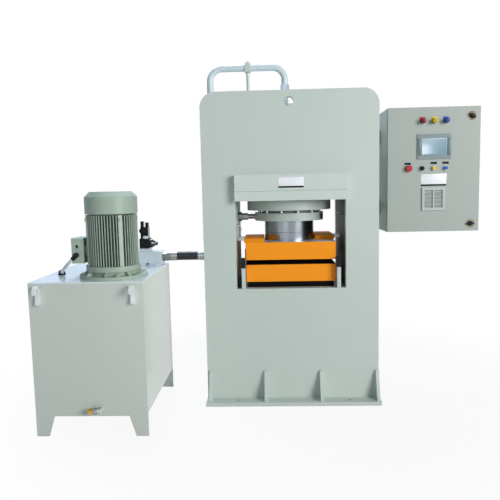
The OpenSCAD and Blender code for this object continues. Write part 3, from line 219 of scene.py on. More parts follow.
def moulded(name, colour, rough=0.4, grain=0.002, depth=0.0003, spread=0.06, sheen=0.5, coat=0.0,
            pleat=0.0):
    """Moulded plastic or rubber: an even colour under a fine leathery grain, or a level mat with bands of
    painted shade for its pleats.
    """
    made, tree, out, place = begin(name)
    cells = put(tree, "ShaderNodeTexVoronoi", {"Vector": place, "Scale": 1 / grain})
    # Tone changes over about 40 mm
    drift = put(tree, "ShaderNodeTexNoise", {"Vector": place, "Scale": 25.0, "Detail": 2.0})
    tone = put(tree, "ShaderNodeMix", {"Factor": drift.outputs["Fac"], "A": shade(colour, 1 - spread),
                                       "B": shade(colour, 1 + spread)}, data_type="RGBA")
    if pleat:
        # Painted shade: a darker band for each pleat, on the flat mat
        painted_pleat_shade = put(tree, "ShaderNodeTexWave", {"Vector": place, "Scale": WAVE_STEP / pleat},
                    wave_type="BANDS", bands_direction="Z")
        tone = put(tree, "ShaderNodeMix", {"Factor": painted_pleat_shade.outputs["Fac"], "A": tone.outputs["Result"],
                                           "B": shade(colour, 0.5)}, data_type="RGBA")
    dull = put(tree, "ShaderNodeMapRange", {"Value": drift.outputs["Fac"], "To Min": rough - 0.05,
                                            "To Max": rough + 0.08})
    bump = put(tree, "ShaderNodeBump", {"Height": cells.outputs["Distance"], "Strength": 0.25,
                                        "Distance": depth})
    shader = put(tree, "ShaderNodeBsdfPrincipled", {
        "Base Color": tone.outputs["Result"], "Roughness": dull.outputs["Result"],
        "Normal": bump.outputs["Normal"], "Specular IOR Level": sheen, "Coat Weight": coat,
        "Coat Roughness": 0.08})
    tree.links.new(shader.outputs["BSDF"], out.inputs["Surface"])
    return made


def hose_cover():
    """Nitrile hose cover: matt black, with the spiral print of the cloth it was wrapped in."""
    made, tree, out, place = begin("wrapped nitrile rubber")
    # Wraps about 6 mm apart
    wraps = put(tree, "ShaderNodeTexWave", {"Vector": place, "Scale": 50.0, "Distortion": 0.6, "Detail": 1.0},
                wave_type="BANDS", bands_direction="X")
    tone = put(tree, "ShaderNodeMix", {"Factor": wraps.outputs["Fac"], "A": linear("#0b0b0c") + [1.0],
                                       "B": linear("#18191b") + [1.0]}, data_type="RGBA")
    bump = put(tree, "ShaderNodeBump", {"Height": wraps.outputs["Fac"], "Strength": 0.35, "Distance": 0.0006})
    shader = put(tree, "ShaderNodeBsdfPrincipled", {
        "Base Color": tone.outputs["Result"], "Roughness": 0.34, "Normal": bump.outputs["Normal"]})
    tree.links.new(shader.outputs["BSDF"], out.inputs["Surface"])
    return made


def screen_glass():
    """Touch glass over a lit panel: pale blue, mirror-smooth, with a painted reflection that grows lighter
    and cloudy towards the top.
    """
    made, tree, out, place = begin("touch glass")
    split = put(tree, "ShaderNodeSeparateXYZ", {"Vector": place})
    painted_reflection_rise = put(tree, "ShaderNodeMapRange", {"Value": split.outputs["Z"], "From Min": PANE_FOOT,
                                            "From Max": PANE_HEAD})
    cloud = put(tree, "ShaderNodeTexNoise", {"Vector": place, "Scale": 9.0, "Detail": 1.0})
    blend = put(tree, "ShaderNodeMath", {0: painted_reflection_rise.outputs["Result"], 1: cloud.outputs["Fac"]},
                operation="MULTIPLY")
    # Painted reflection: the pane grows lighter and cloudy towards the top
    tone = put(tree, "ShaderNodeMix", {"Factor": blend.outputs["Value"], "A": linear("#7f9fad") + [1.0],
                                       "B": linear("#bdd5dd") + [1.0]}, data_type="RGBA")
    shader = put(tree, "ShaderNodeBsdfPrincipled", {
        "Base Color": tone.outputs["Result"], "Roughness": 0.3, "Coat Weight": 0.35, "Coat Roughness": 0.26})
    tree.links.new(shader.outputs["BSDF"], out.inputs["Surface"])
    return made


def lens(name, colour):
    """Tinted polycarbonate lamp lens: a soft gloss outside, a ribbed prism pattern inside."""
    made, tree, out, place = begin(name)
    # Ribs about 3 mm apart
    ribs = put(tree, "ShaderNodeTexWave", {"Vector": place, "Scale": 110.0}, wave_type="BANDS",
               bands_direction="X")
    tone = put(tree, "ShaderNodeMix", {"Factor": ribs.outputs["Fac"], "A": shade(colour, 0.42),
                                       "B": shade(colour, 0.7)}, data_type="RGBA")
    bump = put(tree, "ShaderNodeBump", {"Height": ribs.outputs["Fac"], "Strength": 0.15, "Distance": 0.0005})
    shader = put(tree, "ShaderNodeBsdfPrincipled", {
        "Base Color": tone.outputs["Result"], "Roughness": 0.3, "Normal": bump.outputs["Normal"],
        "Specular IOR Level": 0.2, "Coat Weight": 0.15, "Coat Roughness": 0.1, "Subsurface Weight": 0.15,
        "Subsurface Scale": 0.004})
    tree.links.new(shader.outputs["BSDF"], out.inputs["Surface"])
    return made


def printed_plate():
    """Lacquered aluminium plate: white gloss, with a faint mist in its tone."""
    made, tree, out, place = begin("lacquered aluminium")
    mist = put(tree, "ShaderNodeTexNoise", {"Vector": place, "Scale": 60.0, "Detail": 2.0})
    tone = put(tree, "ShaderNodeMix", {"Factor": mist.outputs["Fac"], "A": linear("#e9edf0") + [1.0],
                                       "B": linear("#f7f9fb") + [1.0]}, data_type="RGBA")
    shader = put(tree, "ShaderNodeBsdfPrincipled", {
        "Base Color": tone.outputs["Result"], "Roughness": 0.25, "Coat Weight": 0.4})
    tree.links.new(shader.outputs["BSDF"], out.inputs["Surface"])
    return made


# A platen's upper face: colour, metallic, least and most roughness, and specular level
GROUND_FACE = ("#d9dadb", 1.0, 0.38, 0.55, 0.5)
# The lower platen's bare working face, near black and hardly reflecting, is painted shade in the gap between
# the platens
SHADE_DARK_FACE = ("#151413", 0.0, 0.75, 0.9, 0.05)
# The motor's upright axis, and the distances from it at which the painted shade between its fins is full and
# ends
MOTOR_AXIS, GAP_SHADE_CORE, GAP_SHADE_TIP = (-1.046, -0.587), 0.127, 0.143
# Tool marks of metals, as pattern repeats for each metre along X, Y and Z
DRAWN_X, TUMBLED = (900.0, 6.0, 6.0), (300.0, 300.0, 300.0)

FINISH = {}
NODE_FINISH = {
    "inner": "inner_webs",
    "frame": "front_plate rear_plate outer_webs base_plate foot_gussets bed_plate "
             "crown_plate stop_posts pipe_clamps",
    "casting": "cylinder_barrel gland_ring",
    "gloss": "top_bolster",
    "pipe": "pressure_pipe manifold_block",
    "tank": "tank_front_plate tank_rear_plate tank_shell",
    "lid": "tank_lid",
    "hook": "lifting_hooks",
    "motor": "motor_flange fan_cowl terminal_box",
    "fins": "motor_frame",
    "panel": "panel_box panel_door panel_brackets",
    "platen": "lower_platen",
    "wing": "guide_wings",
    "bare_platen": "upper_platen",
    "chrome": "ram ram_adapter",
    "steel": "gland_bolts guide_shoes limit_lever pipe_nuts motor_rotor",
    "ferrule": "hose_ferrules",
    "fitting": "retract_fitting button_bezels",
    "dark_steel": "gear_pump limit_switch",
    "brass": "drain_plug",
    "hose": "pressure_hose",
    "black": "post_caps heater_terminal motor_fan cable_glands selector_knob top_lock bottom_lock",
    "gloss_black": "valve_stack",
    "board": "insulation_board",
    "grey": "motor_conduit",
    "hmi": "screen_frame",
    "filter": "filter_grille",
    "red": "estop_head pilot_lamps",
    "yellow": "yellow_button",
    "blue": "blue_button",
}


class PRESS_OT_finishes(bpy.types.Operator):
    """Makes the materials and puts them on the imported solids"""
    bl_idname = "press.finishes"
    bl_label = "Finishes"

    def execute(self, context):
        c = context.scene.press_colours
        FINISH.update({
            "frame": sprayed("enamelled steel plate", c.frame_paint, 0.4),
            # Inner walls: painted shade as a dark colour on the right wall, the frame's enamel on the left
            "inner": sprayed("painted shade on the right, enamel on the left", linear("#4b4843"), 0.6, peel=0.004, sheen=0.2,
                             over=c.frame_paint),
            # The barrel and gland take the frame's enamel made darker: painted shade under the bolster
            "casting": sprayed("enamelled steel casting, darkened for painted shade", shade(c.frame_paint, 0.78)[:3], 0.42, peel=0.004),
            # The bolster takes the frame's enamel made lighter: a painted sheen on its gloss
            "gloss": sprayed("gloss enamel on the bolster, lightened for painted sheen", shade(c.frame_paint, 1.1)[:3], 0.24, peel=0.01,
                             depth=0.0006),
            # The beads take the frame's enamel made slightly lighter: a painted highlight on their ridges
            "weld": sprayed("enamel over weld beads, lightened for painted highlight", shade(c.frame_paint, 1.04)[:3], 0.34, peel=0.002),
            "pipe": sprayed("enamelled pipe", linear("#ccd9dc"), 0.32, peel=0.004),
            "tank": sprayed("enamelled tank sheet", c.tank_paint, 0.17, peel=0.008),
            # The lid's enamel is lighter and bluer than the tank's: a painted reflection of the bright
            # surroundings
            "lid": sprayed("gloss enamel on the lid, lightened for painted reflection", linear("#dee6e8"), 0.1, peel=0.012, depth=0.0005,
                           sheen=0.8),
            # The hooks' enamel is lighter than the tank's: a painted highlight
            "hook": sprayed("enamel on the hooks, lightened for painted highlight", linear("#e3e8e6"), 0.3, peel=0.003),
            "motor": sprayed("enamelled cast aluminium", c.motor_paint, 0.42, peel=0.003, depth=0.0006),
            # The fins take the motor's enamel made lighter, a painted highlight on their tips, and painted
            # shade between them
            "fins": sprayed("enamelled aluminium fins", shade(c.motor_paint, 1.12)[:3], 0.42, peel=0.003,
                            shaded_gaps=(MOTOR_AXIS, GAP_SHADE_CORE, GAP_SHADE_TIP)),
            "panel": sprayed("powder-coated sheet", c.panel_paint, 0.48, peel=0.0025, depth=0.0003,
                             spread=0.025),
            # The lower platen's upper face is painted shade
            "platen": sprayed("heat-proof enamel, painted shade on top", c.platen_paint, 0.36, spread=0.035,
                              sheen=0.25, face=SHADE_DARK_FACE),
            # The wings take the platens' enamel made darker: painted shade on the wings behind the ram
            "wing": sprayed("matt heat-proof enamel, darkened for painted shade", shade(c.platen_paint, 0.85)[:3], 0.6, spread=0.06,
                            sheen=0.08),
            "bare_platen": sprayed("heat-proof enamel, ground top", c.platen_paint, 0.36, spread=0.035,
                                   sheen=0.25, face=GROUND_FACE),
            "chrome": metal("hard chrome on steel", linear("#8f9498"), 0.2),
            "steel": metal("zinc-plated steel", linear("#c2c4c4"), 0.3, TUMBLED),
            "ferrule": metal("turned steel ferrule", linear("#8f8d86"), 0.26, DRAWN_X, spread=0.12),
            "fitting": metal("phosphated steel", linear("#8b9090"), 0.32, (250.0, 250.0, 250.0)),
            "dark_steel": metal("black-oxided steel", linear("#4d5256"), 0.4, (200.0, 200.0, 200.0)),
            "brass": metal("turned brass", c.brass, 0.24, (900.0, 8.0, 8.0)),
            "old_brass": metal("tarnished brass", shade(c.brass, 0.45)[:3], 0.3, TUMBLED),
            "hose": hose_cover(),
            "black": moulded("black nylon", linear("#141517"), 0.42, sheen=0.2),
            "gloss_black": moulded("black epoxy coil casing", linear("#14161a"), 0.22, coat=0.6),
            "board": moulded("phenolic board", linear("#0f0d0c"), 0.8, grain=0.004, spread=0.2, sheen=0.08),
            "grey": moulded("grey flexible conduit", linear("#d2d8da"), 0.35, grain=0.003),
            # The mat's darker bands are painted shade for its pleats
            "mat": moulded("fibre mat with painted pleat shade", linear("#bcc4c0"), 0.9, grain=0.0015, depth=0.0006,
                           spread=0.1, pleat=0.026),
            "zinc": metal("galvanised sheet", linear("#aab0b2"), 0.42, (40.0, 40.0, 40.0), spread=0.14),
            "hmi": moulded("grey polycarbonate frame", linear("#7d8b8c"), 0.42),
            "dark_hmi": moulded("dark grey polycarbonate", linear("#5d6f6f"), 0.4),
            "filter": moulded("pale grey ABS", linear("#b6bdba"), 0.45),
            **{key: moulded(f"{key} ABS", getattr(c, key), 0.3, sheen=0.3, coat=0.08)
               for key in ("red", "yellow", "blue")},
            "red_lens": lens("red polycarbonate lens", shade(c.red, 0.65)[:3]),
            "yellow_lens": lens("yellow polycarbonate lens", linear("#e6dd30")),
            "blue_lens": lens("blue polycarbonate lens", c.blue),
            "plate": printed_plate(),
            "band": moulded("black print", linear("#0e0f11"), 0.4, sheen=0.15),
            "glass": screen_glass(),
            "seal": moulded("polyurethane seal", linear("#20211f"), 0.5),
            "label": moulded("white label film", linear("#e6eaee"), 0.35),
        })
        for finish, names in NODE_FINISH.items():
            for name in names.split():
                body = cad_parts[name]
                body.data.materials.clear()
                body.data.materials.append(FINISH[finish])
        return {"FINISHED"}


# Modelling steps

AHEAD, UP = (0, -1, 0), (0, 0, 1)
LEFT, RIGHT = (-1, 0, 0), (1, 0, 0)
TURNS = {"X": (0, math.pi / 2, 0), "Y": (math.pi / 2, 0, 0), "Z": (0, 0, 0)}
CREASE = math.radians(40)


def only(piece):
    """Selects one object alone and makes it active."""
    bpy.ops.object.select_all(action="DESELECT")
    piece.select_set(True)
    bpy.context.view_layer.objects.active = piece


def settle(piece):
    """Puts the piece's place into its mesh."""
    only(piece)
    bpy.ops.object.transform_apply(location=True, rotation=True, scale=True)
    return piece


def slab(low, high):
    """A rectangular blank between two corners."""
    low, high = Vector(low), Vector(high)
    bpy.ops.object.select_all(action="DESELECT")
    bpy.ops.mesh.primitive_cube_add(size=1, location=(low + high) / 2)
    piece = bpy.context.object
    piece.scale = high - low
    return settle(piece)


def turned(radius, depth, middle, axis="Y", sides=48):
    """A round blank along one axis."""
    bpy.ops.object.select_all(action="DESELECT")
    bpy.ops.mesh.primitive_cylinder_add(vertices=sides, radius=radius, depth=depth, location=middle,
                                        rotation=TURNS[axis])
    return settle(bpy.context.object)


def edit_faces(piece, normal, limit=0.95):
    """Goes into edit mode with the faces selected that look one way."""
    only(piece)
    bpy.ops.object.mode_set(mode="EDIT")
    bpy.ops.mesh.select_mode(type="FACE")
    bpy.ops.mesh.select_all(action="DESELECT")
    bpy.ops.object.mode_set(mode="OBJECT")
    for face in piece.data.polygons:
        face.select = face.normal.dot(Vector(normal)) > limit
    bpy.ops.object.mode_set(mode="EDIT")


def recess(piece, normal, border, step):
    """Insets the faces that look one way and moves them in (below zero) or out."""
    edit_faces(piece, normal)
    bpy.ops.mesh.inset(thickness=border, use_even_offset=True)
    bpy.ops.mesh.extrude_region_move(TRANSFORM_OT_translate={"value": Vector(normal) * step})
    bpy.ops.object.mode_set(mode="OBJECT")
    return piece


def ease(piece, width, steps=2):
    """Rounds the edges and shades the piece smooth by angle."""
    only(piece)
    bevel = piece.modifiers.new("edges", "BEVEL")
    bevel.width = width
    bevel.segments = steps
    bevel.limit_method = "ANGLE"
    bpy.ops.object.modifier_apply(modifier="edges")
    bpy.ops.object.shade_smooth_by_angle(angle=CREASE)
    return piece


def pressed(blank, border, step, edge, normal=AHEAD):
    """A blank with one face moved in (below zero) or out inside a border, and its edges rounded."""
    return ease(recess(blank, normal, border, step), edge)


def dress(piece, name, body, finish):
    """Names the piece, gives it its finish and ties it to its body."""
    piece.name = name
    piece.data.name = name
    piece.data.materials.clear()
    piece.data.materials.append(FINISH[finish])
    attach(piece, body)
    return piece


def joined(pieces):
    """Joins pieces of one finish into the first."""
    bpy.ops.object.select_all(action="DESELECT")
    for piece in pieces:
        piece.select_set(True)
    bpy.context.view_layer.objects.active = pieces[0]
    bpy.ops.object.join()
    return pieces[0]


def cornered(piece, across, along):
    """Copies a piece to the other three corners of a rectangle and joins the copies to it."""
    across, along = Vector(across), Vector(along)
    pieces = [piece]
    for step in (across, along, across + along):
        only(piece)
        bpy.ops.object.duplicate()
        bpy.context.object.location = step
        pieces.append(settle(bpy.context.object))
    return joined(pieces)


def hoop(radius, wide, middle, thick, axis="X", sides=64):
    """A band round a bar, with eased edges."""
    edge_share = 0.2
    bpy.ops.object.select_all(action="DESELECT")
    bpy.ops.mesh.primitive_cylinder_add(vertices=sides, radius=radius + thick, depth=wide,
                                        end_fill_type="NOTHING", location=middle, rotation=TURNS[axis])
    band = settle(bpy.context.object)
    bpy.ops.object.mode_set(mode="EDIT")
    bpy.ops.mesh.select_all(action="SELECT")
    bpy.ops.mesh.normals_make_consistent(inside=False)
    bpy.ops.object.mode_set(mode="OBJECT")
    wall = band.modifiers.new("wall", "SOLIDIFY")
    wall.thickness = thick
    wall.offset = -1
    only(band)
    bpy.ops.object.modifier_apply(modifier="wall")
    return ease(band, thick * edge_share)


def ribbed(spots, radius, dip, fine=4):
    """A round tube along a row of places, narrower at every second one."""
    path = bpy.data.curves.new("ribbed", "CURVE")
    path.dimensions = "3D"
    path.bevel_depth = radius
    path.bevel_resolution = fine
    path.use_fill_caps = True
    line = path.splines.new("POLY")
    line.points.add(len(spots) - 1)
    for i, (point, spot) in enumerate(zip(line.points, spots)):
        point.co = (*spot, 1)
        point.radius = 1.0 if i % 2 else 1 - dip
    piece = bpy.data.objects.new("ribbed", path)
    bpy.context.collection.objects.link(piece)
    only(piece)
    bpy.ops.object.convert(target="MESH")
    bpy.ops.object.shade_smooth_by_angle(angle=math.radians(60))
    return bpy.context.object


def smooth_line(points, pitch):
    """Even steps along a smooth line through the points, and the line's length."""
    last = len(points) - 1
    fine = []
    # A Catmull-Rom curve, in four steps from each point to the next
    for i in range(last):
        a, b, c, d = (Vector(points[max(0, min(last, i + k))]) for k in (-1, 0, 1, 2))
        for t in (0, 0.25, 0.5, 0.75):
            fine.append(b + (c - a) * t / 2 + (2 * a - 5 * b + 4 * c - d) * t * t / 2
                        + (3 * b - a - 3 * c + d) * t ** 3 / 2)
    fine.append(Vector(points[last]))
    run = [0.0]
    for a, b in zip(fine, fine[1:]):
        run.append(run[-1] + (b - a).length)
    count = 2 * round(run[-1] / (2 * pitch))
    spots = []
    k = 0
    for i in range(count + 1):
        goal = run[-1] * i / count
        while k < len(run) - 2 and run[k + 1] < goal:
            k += 1
        spots.append(fine[k].lerp(fine[k + 1], (goal - run[k]) / (run[k + 1] - run[k])))
    return spots, run[-1]


def bead(start, end, radius=0.0045, pitch=0.007):
    """A weld bead with its ripples, between two places."""
    start, end = Vector(start), Vector(end)
    count = 2 * round((end - start).length / pitch)
    return ribbed([start.lerp(end, i / count) for i in range(count + 1)], radius, dip=0.16, fine=1)


def wall_plate(name, body, left, low, wide, high, face):
    """A thin plate on a front wall, with a plain dark band along its foot and a rivet at each corner."""
    thick, band, band_share, inset = 0.0015, 0.011, 0.92, 0.006
    white = slab((left, face - thick, low + band), (left + wide, face, low + high))
    dress(pressed(white, border=0.002, step=0.0003, edge=0.0004), name, body, "plate")
    dark = slab((left, face - thick, low), (left + wide, face, low + band * band_share))
    dress(pressed(dark, border=0.0012, step=0.0002, edge=0.0003), name + "_band", body,
          "band")
    rivet_r, rivet_t, sunk = 0.0024, 0.0012, 0.0005
    head = turned(rivet_r, rivet_t, (left + inset, face - thick - sunk, low + band + inset), sides=20)
    head = pressed(head, border=0.0007, step=0.0004, edge=0.0002)
    head = cornered(head, (wide - 2 * inset, 0, 0), (0, 0, high - band - 2 * inset))
    dress(head, name + "_rivets", body, "steel")


# Middles of the legend plates, over the emergency stop and the two buttons
LEGENDS = ((0.771, 1.512), (0.939, 1.514), (1.014, 1.514))


class PRESS_OT_plates(bpy.types.Operator):
    """Bare plates on the bolster and the door, and black legend plates over the switches"""
    bl_idname = "press.plates"
    bl_label = "Plates"

    def execute(self, context):
        z = context.scene.press_sizes
        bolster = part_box("top_bolster")
        wall_plate("bolster_plate", "press", left=-0.073, low=1.375, wide=z.plate_w, high=z.plate_h,
                   face=bolster[0].y)
        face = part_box("panel_door")[0].y
        wall_plate("door_plate", "door", left=0.858, low=1.367, wide=z.door_plate_w, high=z.door_plate_h,
                   face=face)
        thick = 0.0018
        for number, (x, height) in enumerate(LEGENDS, 1):
            plate = slab((x - z.legend_w / 2, face - thick, height - z.legend_h / 2),
                         (x + z.legend_w / 2, face, height + z.legend_h / 2))
            dress(pressed(plate, border=0.0012, step=-0.0003, edge=0.0005), f"legend_{number}", "door",
                  "band")
        return {"FINISHED"}


class PRESS_OT_lamps(bpy.types.Operator):
    """Three pilot lamps with a collar, a tall tinted lens and a coloured plate each"""
    bl_idname = "press.lamps"
    bl_label = "Pilot lamps"

    def execute(self, context):
        low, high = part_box("pilot_lamps")
        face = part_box("panel_door")[0].y
        height, radius = (low.z + high.z) / 2, (high.z - low.z) / 2
        span = (high.x - low.x - 2 * radius) / 2
        collar_share, lens_share, collar_t = 0.93, 0.83, 0.005
        back, front = face - 0.004, low.y - 0.006
        # The coloured plate's thickness and half width, and its edges above the lamp's middle
        thick, half, foot, head = 0.0022, 0.018, 0.004, 0.026
        for number, colour in enumerate(("red", "yellow", "blue")):
            x = low.x + radius + number * span
            collar = turned(radius * collar_share, collar_t, (x, face - collar_t / 2, height))
            dress(pressed(collar, border=0.003, step=-0.001, edge=0.0006), f"lamp_collar_{colour}", "door",
                  "black")
            cap = turned(radius * lens_share, back - front, (x, (back + front) / 2, height))
            cap = recess(cap, AHEAD, border=0.002, step=0.002)
            cap = ease(recess(cap, AHEAD, border=0.004, step=0.001), width=0.0012, steps=3)
            dress(cap, f"lamp_lens_{colour}", "door", f"{colour}_lens")
            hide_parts("pilot_lamps")
            flag = slab((x - half, face - thick, height + foot), (x + half, face, height + head))
            dress(pressed(flag, border=0.0016, step=0.0003, edge=0.0008), f"lamp_plate_{colour}", "door",
                  colour)
        return {"FINISHED"}


class PRESS_OT_screen(bpy.types.Operator):
    """Touch glass in its frame, with darker side bars"""
    bl_idname = "press.screen"
    bl_label = "Touch screen"

    def execute(self, context):
        low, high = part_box("screen_frame")
        rim, front, back = 0.027, low.y + 0.0006, low.y + 0.003
        pane = slab((low.x + rim, front, low.z + rim), (high.x - rim, back, high.z - rim))
        dress(pressed(pane, border=0.004, step=-0.0003, edge=0.0003), "screen_pane", "door",
              "glass")
        outer, inner, thick = 0.003, 0.024, 0.0012
        for name, x0, x1 in (("left", low.x + outer, low.x + inner),
                             ("right", high.x - inner, high.x - outer)):
            bar = slab((x0, low.y - thick, low.z + inner), (x1, low.y, high.z - inner))
            dress(pressed(bar, border=0.002, step=0.0004, edge=0.0005), f"screen_bar_{name}", "door",
                  "dark_hmi")
        return {"FINISHED"}


class PRESS_OT_lock_rings(bpy.types.Operator):
    """Brass ring round each door lock"""
    bl_idname = "press.lock_rings"
    bl_label = "Lock rings"

    def execute(self, context):
        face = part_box("panel_door")[0].y
        ring_r, wire_r = 0.0245, 0.0028
        for lock in ("top_lock", "bottom_lock"):
            low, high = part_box(lock)
            middle = (low + high) / 2
            bpy.ops.object.select_all(action="DESELECT")
            bpy.ops.mesh.primitive_torus_add(major_segments=64, minor_segments=12, major_radius=ring_r,
                                             minor_radius=wire_r, location=(middle.x, face, middle.z),
                                             rotation=TURNS["Y"])
            ring = settle(bpy.context.object)
            bpy.ops.object.mode_set(mode="EDIT")
            bpy.ops.mesh.select_all(action="SELECT")
            bpy.ops.mesh.bisect(plane_co=(0, face, 0), plane_no=(0, 1, 0), use_fill=True, clear_outer=True)
            bpy.ops.object.mode_set(mode="OBJECT")
            bpy.ops.object.shade_smooth_by_angle(angle=CREASE)
            dress(ring, f"{lock}_ring", "door", "old_brass")
        return {"FINISHED"}


class PRESS_OT_seals(bpy.types.Operator):
    """Wiper lip and seam of the ram, and the door's foam gasket"""
    bl_idname = "press.seals"
    bl_label = "Seals"

    def execute(self, context):
        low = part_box("gland_ring")[0]
        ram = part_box("ram_adapter")
        radius, clearance = (ram[1].x - ram[0].x) / 2, 0.0006
        lip_h, seam_h, sides = 0.004, 0.0024, 96
        wiper = hoop(radius + clearance, lip_h, (0, 0, low.z - lip_h / 2), thick=0.0115, axis="Z",
                     sides=sides)
        dress(wiper, "ram_wiper", "press", "seal")
        seam = hoop(radius, seam_h, (0, 0, ram[1].z), thick=0.0005, axis="Z", sides=sides)
        dress(seam, "adapter_seam", "ram", "dark_steel")
        low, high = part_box("panel_door")
        edge, wide = 0.034, 0.012
        front, back = low.y + 0.003, low.y + 0.009
        strips = []
        for x in (low.x + edge, high.x - edge - wide):
            strips.append(slab((x, front, low.z + edge), (x + wide, back, high.z - edge)))
        for z in (low.z + edge, high.z - edge - wide):
            strips.append(slab((low.x + edge + wide, front, z), (high.x - edge - wide, back, z + wide)))
        strips = [ease(strip, width=0.002) for strip in strips]
        dress(joined(strips), "door_gasket", "door", "seal")
        return {"FINISHED"}


# Conduit's route from its gland, to the left, back and down into its boot, as in the part's source
CONDUIT_ROUTE = (
    (-1.260, -0.673, 0.994), (-1.268, -0.672, 0.986), (-1.2765, -0.670, 0.978), (-1.285, -0.666, 0.970),
    (-1.2935, -0.6605, 0.9625), (-1.302, -0.653, 0.955), (-1.311, -0.6445, 0.948), (-1.320, -0.634, 0.941),
    (-1.329, -0.622, 0.934), (-1.338, -0.609, 0.927), (-1.347, -0.594, 0.921), (-1.3565, -0.577, 0.914),
    (-1.366, -0.559, 0.908), (-1.3755, -0.539, 0.902), (-1.385, -0.518, 0.896))
CONDUIT_DIAMETER = 0.020


class PRESS_OT_conduit(bpy.types.Operator):
    """Ribbed flexible conduit from the terminal box to the tank lid"""
    bl_idname = "press.conduit"
    bl_label = "Conduit"

    def execute(self, context):
        spots, run = smooth_line(CONDUIT_ROUTE, context.scene.press_sizes.rib_pitch / 2)
        piece = ribbed(spots, CONDUIT_DIAMETER / 2, dip=0.1)
        dress(piece, "motor_conduit_ribbed", "press", "grey")
        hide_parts("motor_conduit")
        return {"FINISHED"}


class PRESS_OT_welds(bpy.types.Operator):
    """Weld beads along the foot gussets and along the plates' feet"""
    bl_idname = "press.welds"
    bl_label = "Welds"

    def execute(self, context):
        low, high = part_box("foot_gussets")
        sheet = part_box("front_plate")
        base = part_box("base_plate")[1].z
        thick, count = context.scene.press_sizes.gusset_t, 4
        # How far a bead's middle stands off the corner it fills, and how far it stops short of an end
        lead, short = 0.0015, 0.004
        foot = base + lead
        beads = []
        for i in range(count):
            middle = low.x + thick / 2 + i * (high.x - low.x - thick) / (count - 1)
            for x in (middle - thick / 2 - lead, middle + thick / 2 + lead):
                for side in (-1, 1):
                    wall = side * (abs(sheet[0].y) + lead)
                    beads.append(bead((x, wall, base + short), (x, wall, high.z - short)))
                    beads.append(bead((x, wall, foot), (x, side * (abs(low.y) - short), foot)))
        for side in (-1, 1):
            wall = side * (abs(sheet[0].y) + lead)
            beads.append(bead((sheet[0].x + short, wall, foot), (sheet[1].x - short, wall, foot)))
        dress(joined(beads), "foot_welds", "press", "weld")
        return {"FINISHED"}


class PRESS_OT_filter_mat(bpy.types.Operator):
    """Fibre mat behind the louvres of the door's filter"""
    bl_idname = "press.filter_mat"
    bl_label = "Filter mat"

    def execute(self, context):
        low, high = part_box("filter_grille")
        edge, hem, fuzz = 0.017, 0.003, 0.0005
        front, back = high.y + 0.0006, high.y + 0.0028
        mat = slab((low.x + edge, front, low.z + edge), (high.x - edge, back, high.z - edge))
        edit_faces(mat, AHEAD)
        bpy.ops.mesh.inset(thickness=hem)
        bpy.ops.mesh.subdivide(number_cuts=40)
        bpy.ops.transform.vertex_random(offset=fuzz, seed=3)
        bpy.ops.object.mode_set(mode="OBJECT")
        bpy.ops.object.shade_smooth_by_angle(angle=math.radians(80))
        dress(mat, "filter_mat", "door", "mat")
        return {"FINISHED"}


class PRESS_OT_hose_trim(bpy.types.Operator):
    """Crimp rings on the pressure hose's ferrules, and the drain's union nut"""
    bl_idname = "press.hose_trim"
    bl_label = "Hose trim"

    def execute(self, context):
        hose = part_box("pressure_hose")
        middle = (hose[0] + hose[1]) / 2
        cover, radius = (hose[1].z - hose[0].z) / 2, context.scene.press_sizes.ferrule_d / 2
        # Three rings on the left ferrule and two on the right one, by their distance from the hose's end
        spots = [hose[0].x - gap for gap in (0.010, 0.022, 0.034)]
        spots += [hose[1].x + gap for gap in (0.010, 0.022)]
        rings = [hoop(radius, 0.005, (x, middle.y, middle.z), thick=0.0012) for x in spots]
        lip, gap = 0.0024, 0.0004
        for x in (hose[0].x + lip / 2, hose[1].x - lip / 2):
            rings.append(hoop(cover, lip, (x, middle.y, middle.z), thick=radius - cover - gap))
        dress(joined(rings), "hose_crimps", "press", "steel")
        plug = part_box("drain_plug")
        spot = (plug[0] + plug[1]) / 2
        nut_r, nut_l, beyond = 0.0185, 0.014, 0.009
        union = turned(nut_r, nut_l, (plug[1].x + beyond, spot.y, spot.z), "X", sides=6)
        union = recess(union, LEFT, border=0.002, step=0.002)
        union = pressed(union, border=0.003, step=0.002, edge=0.0008, normal=RIGHT)
        dress(union, "drain_union", "press", "chrome")
        return {"FINISHED"}


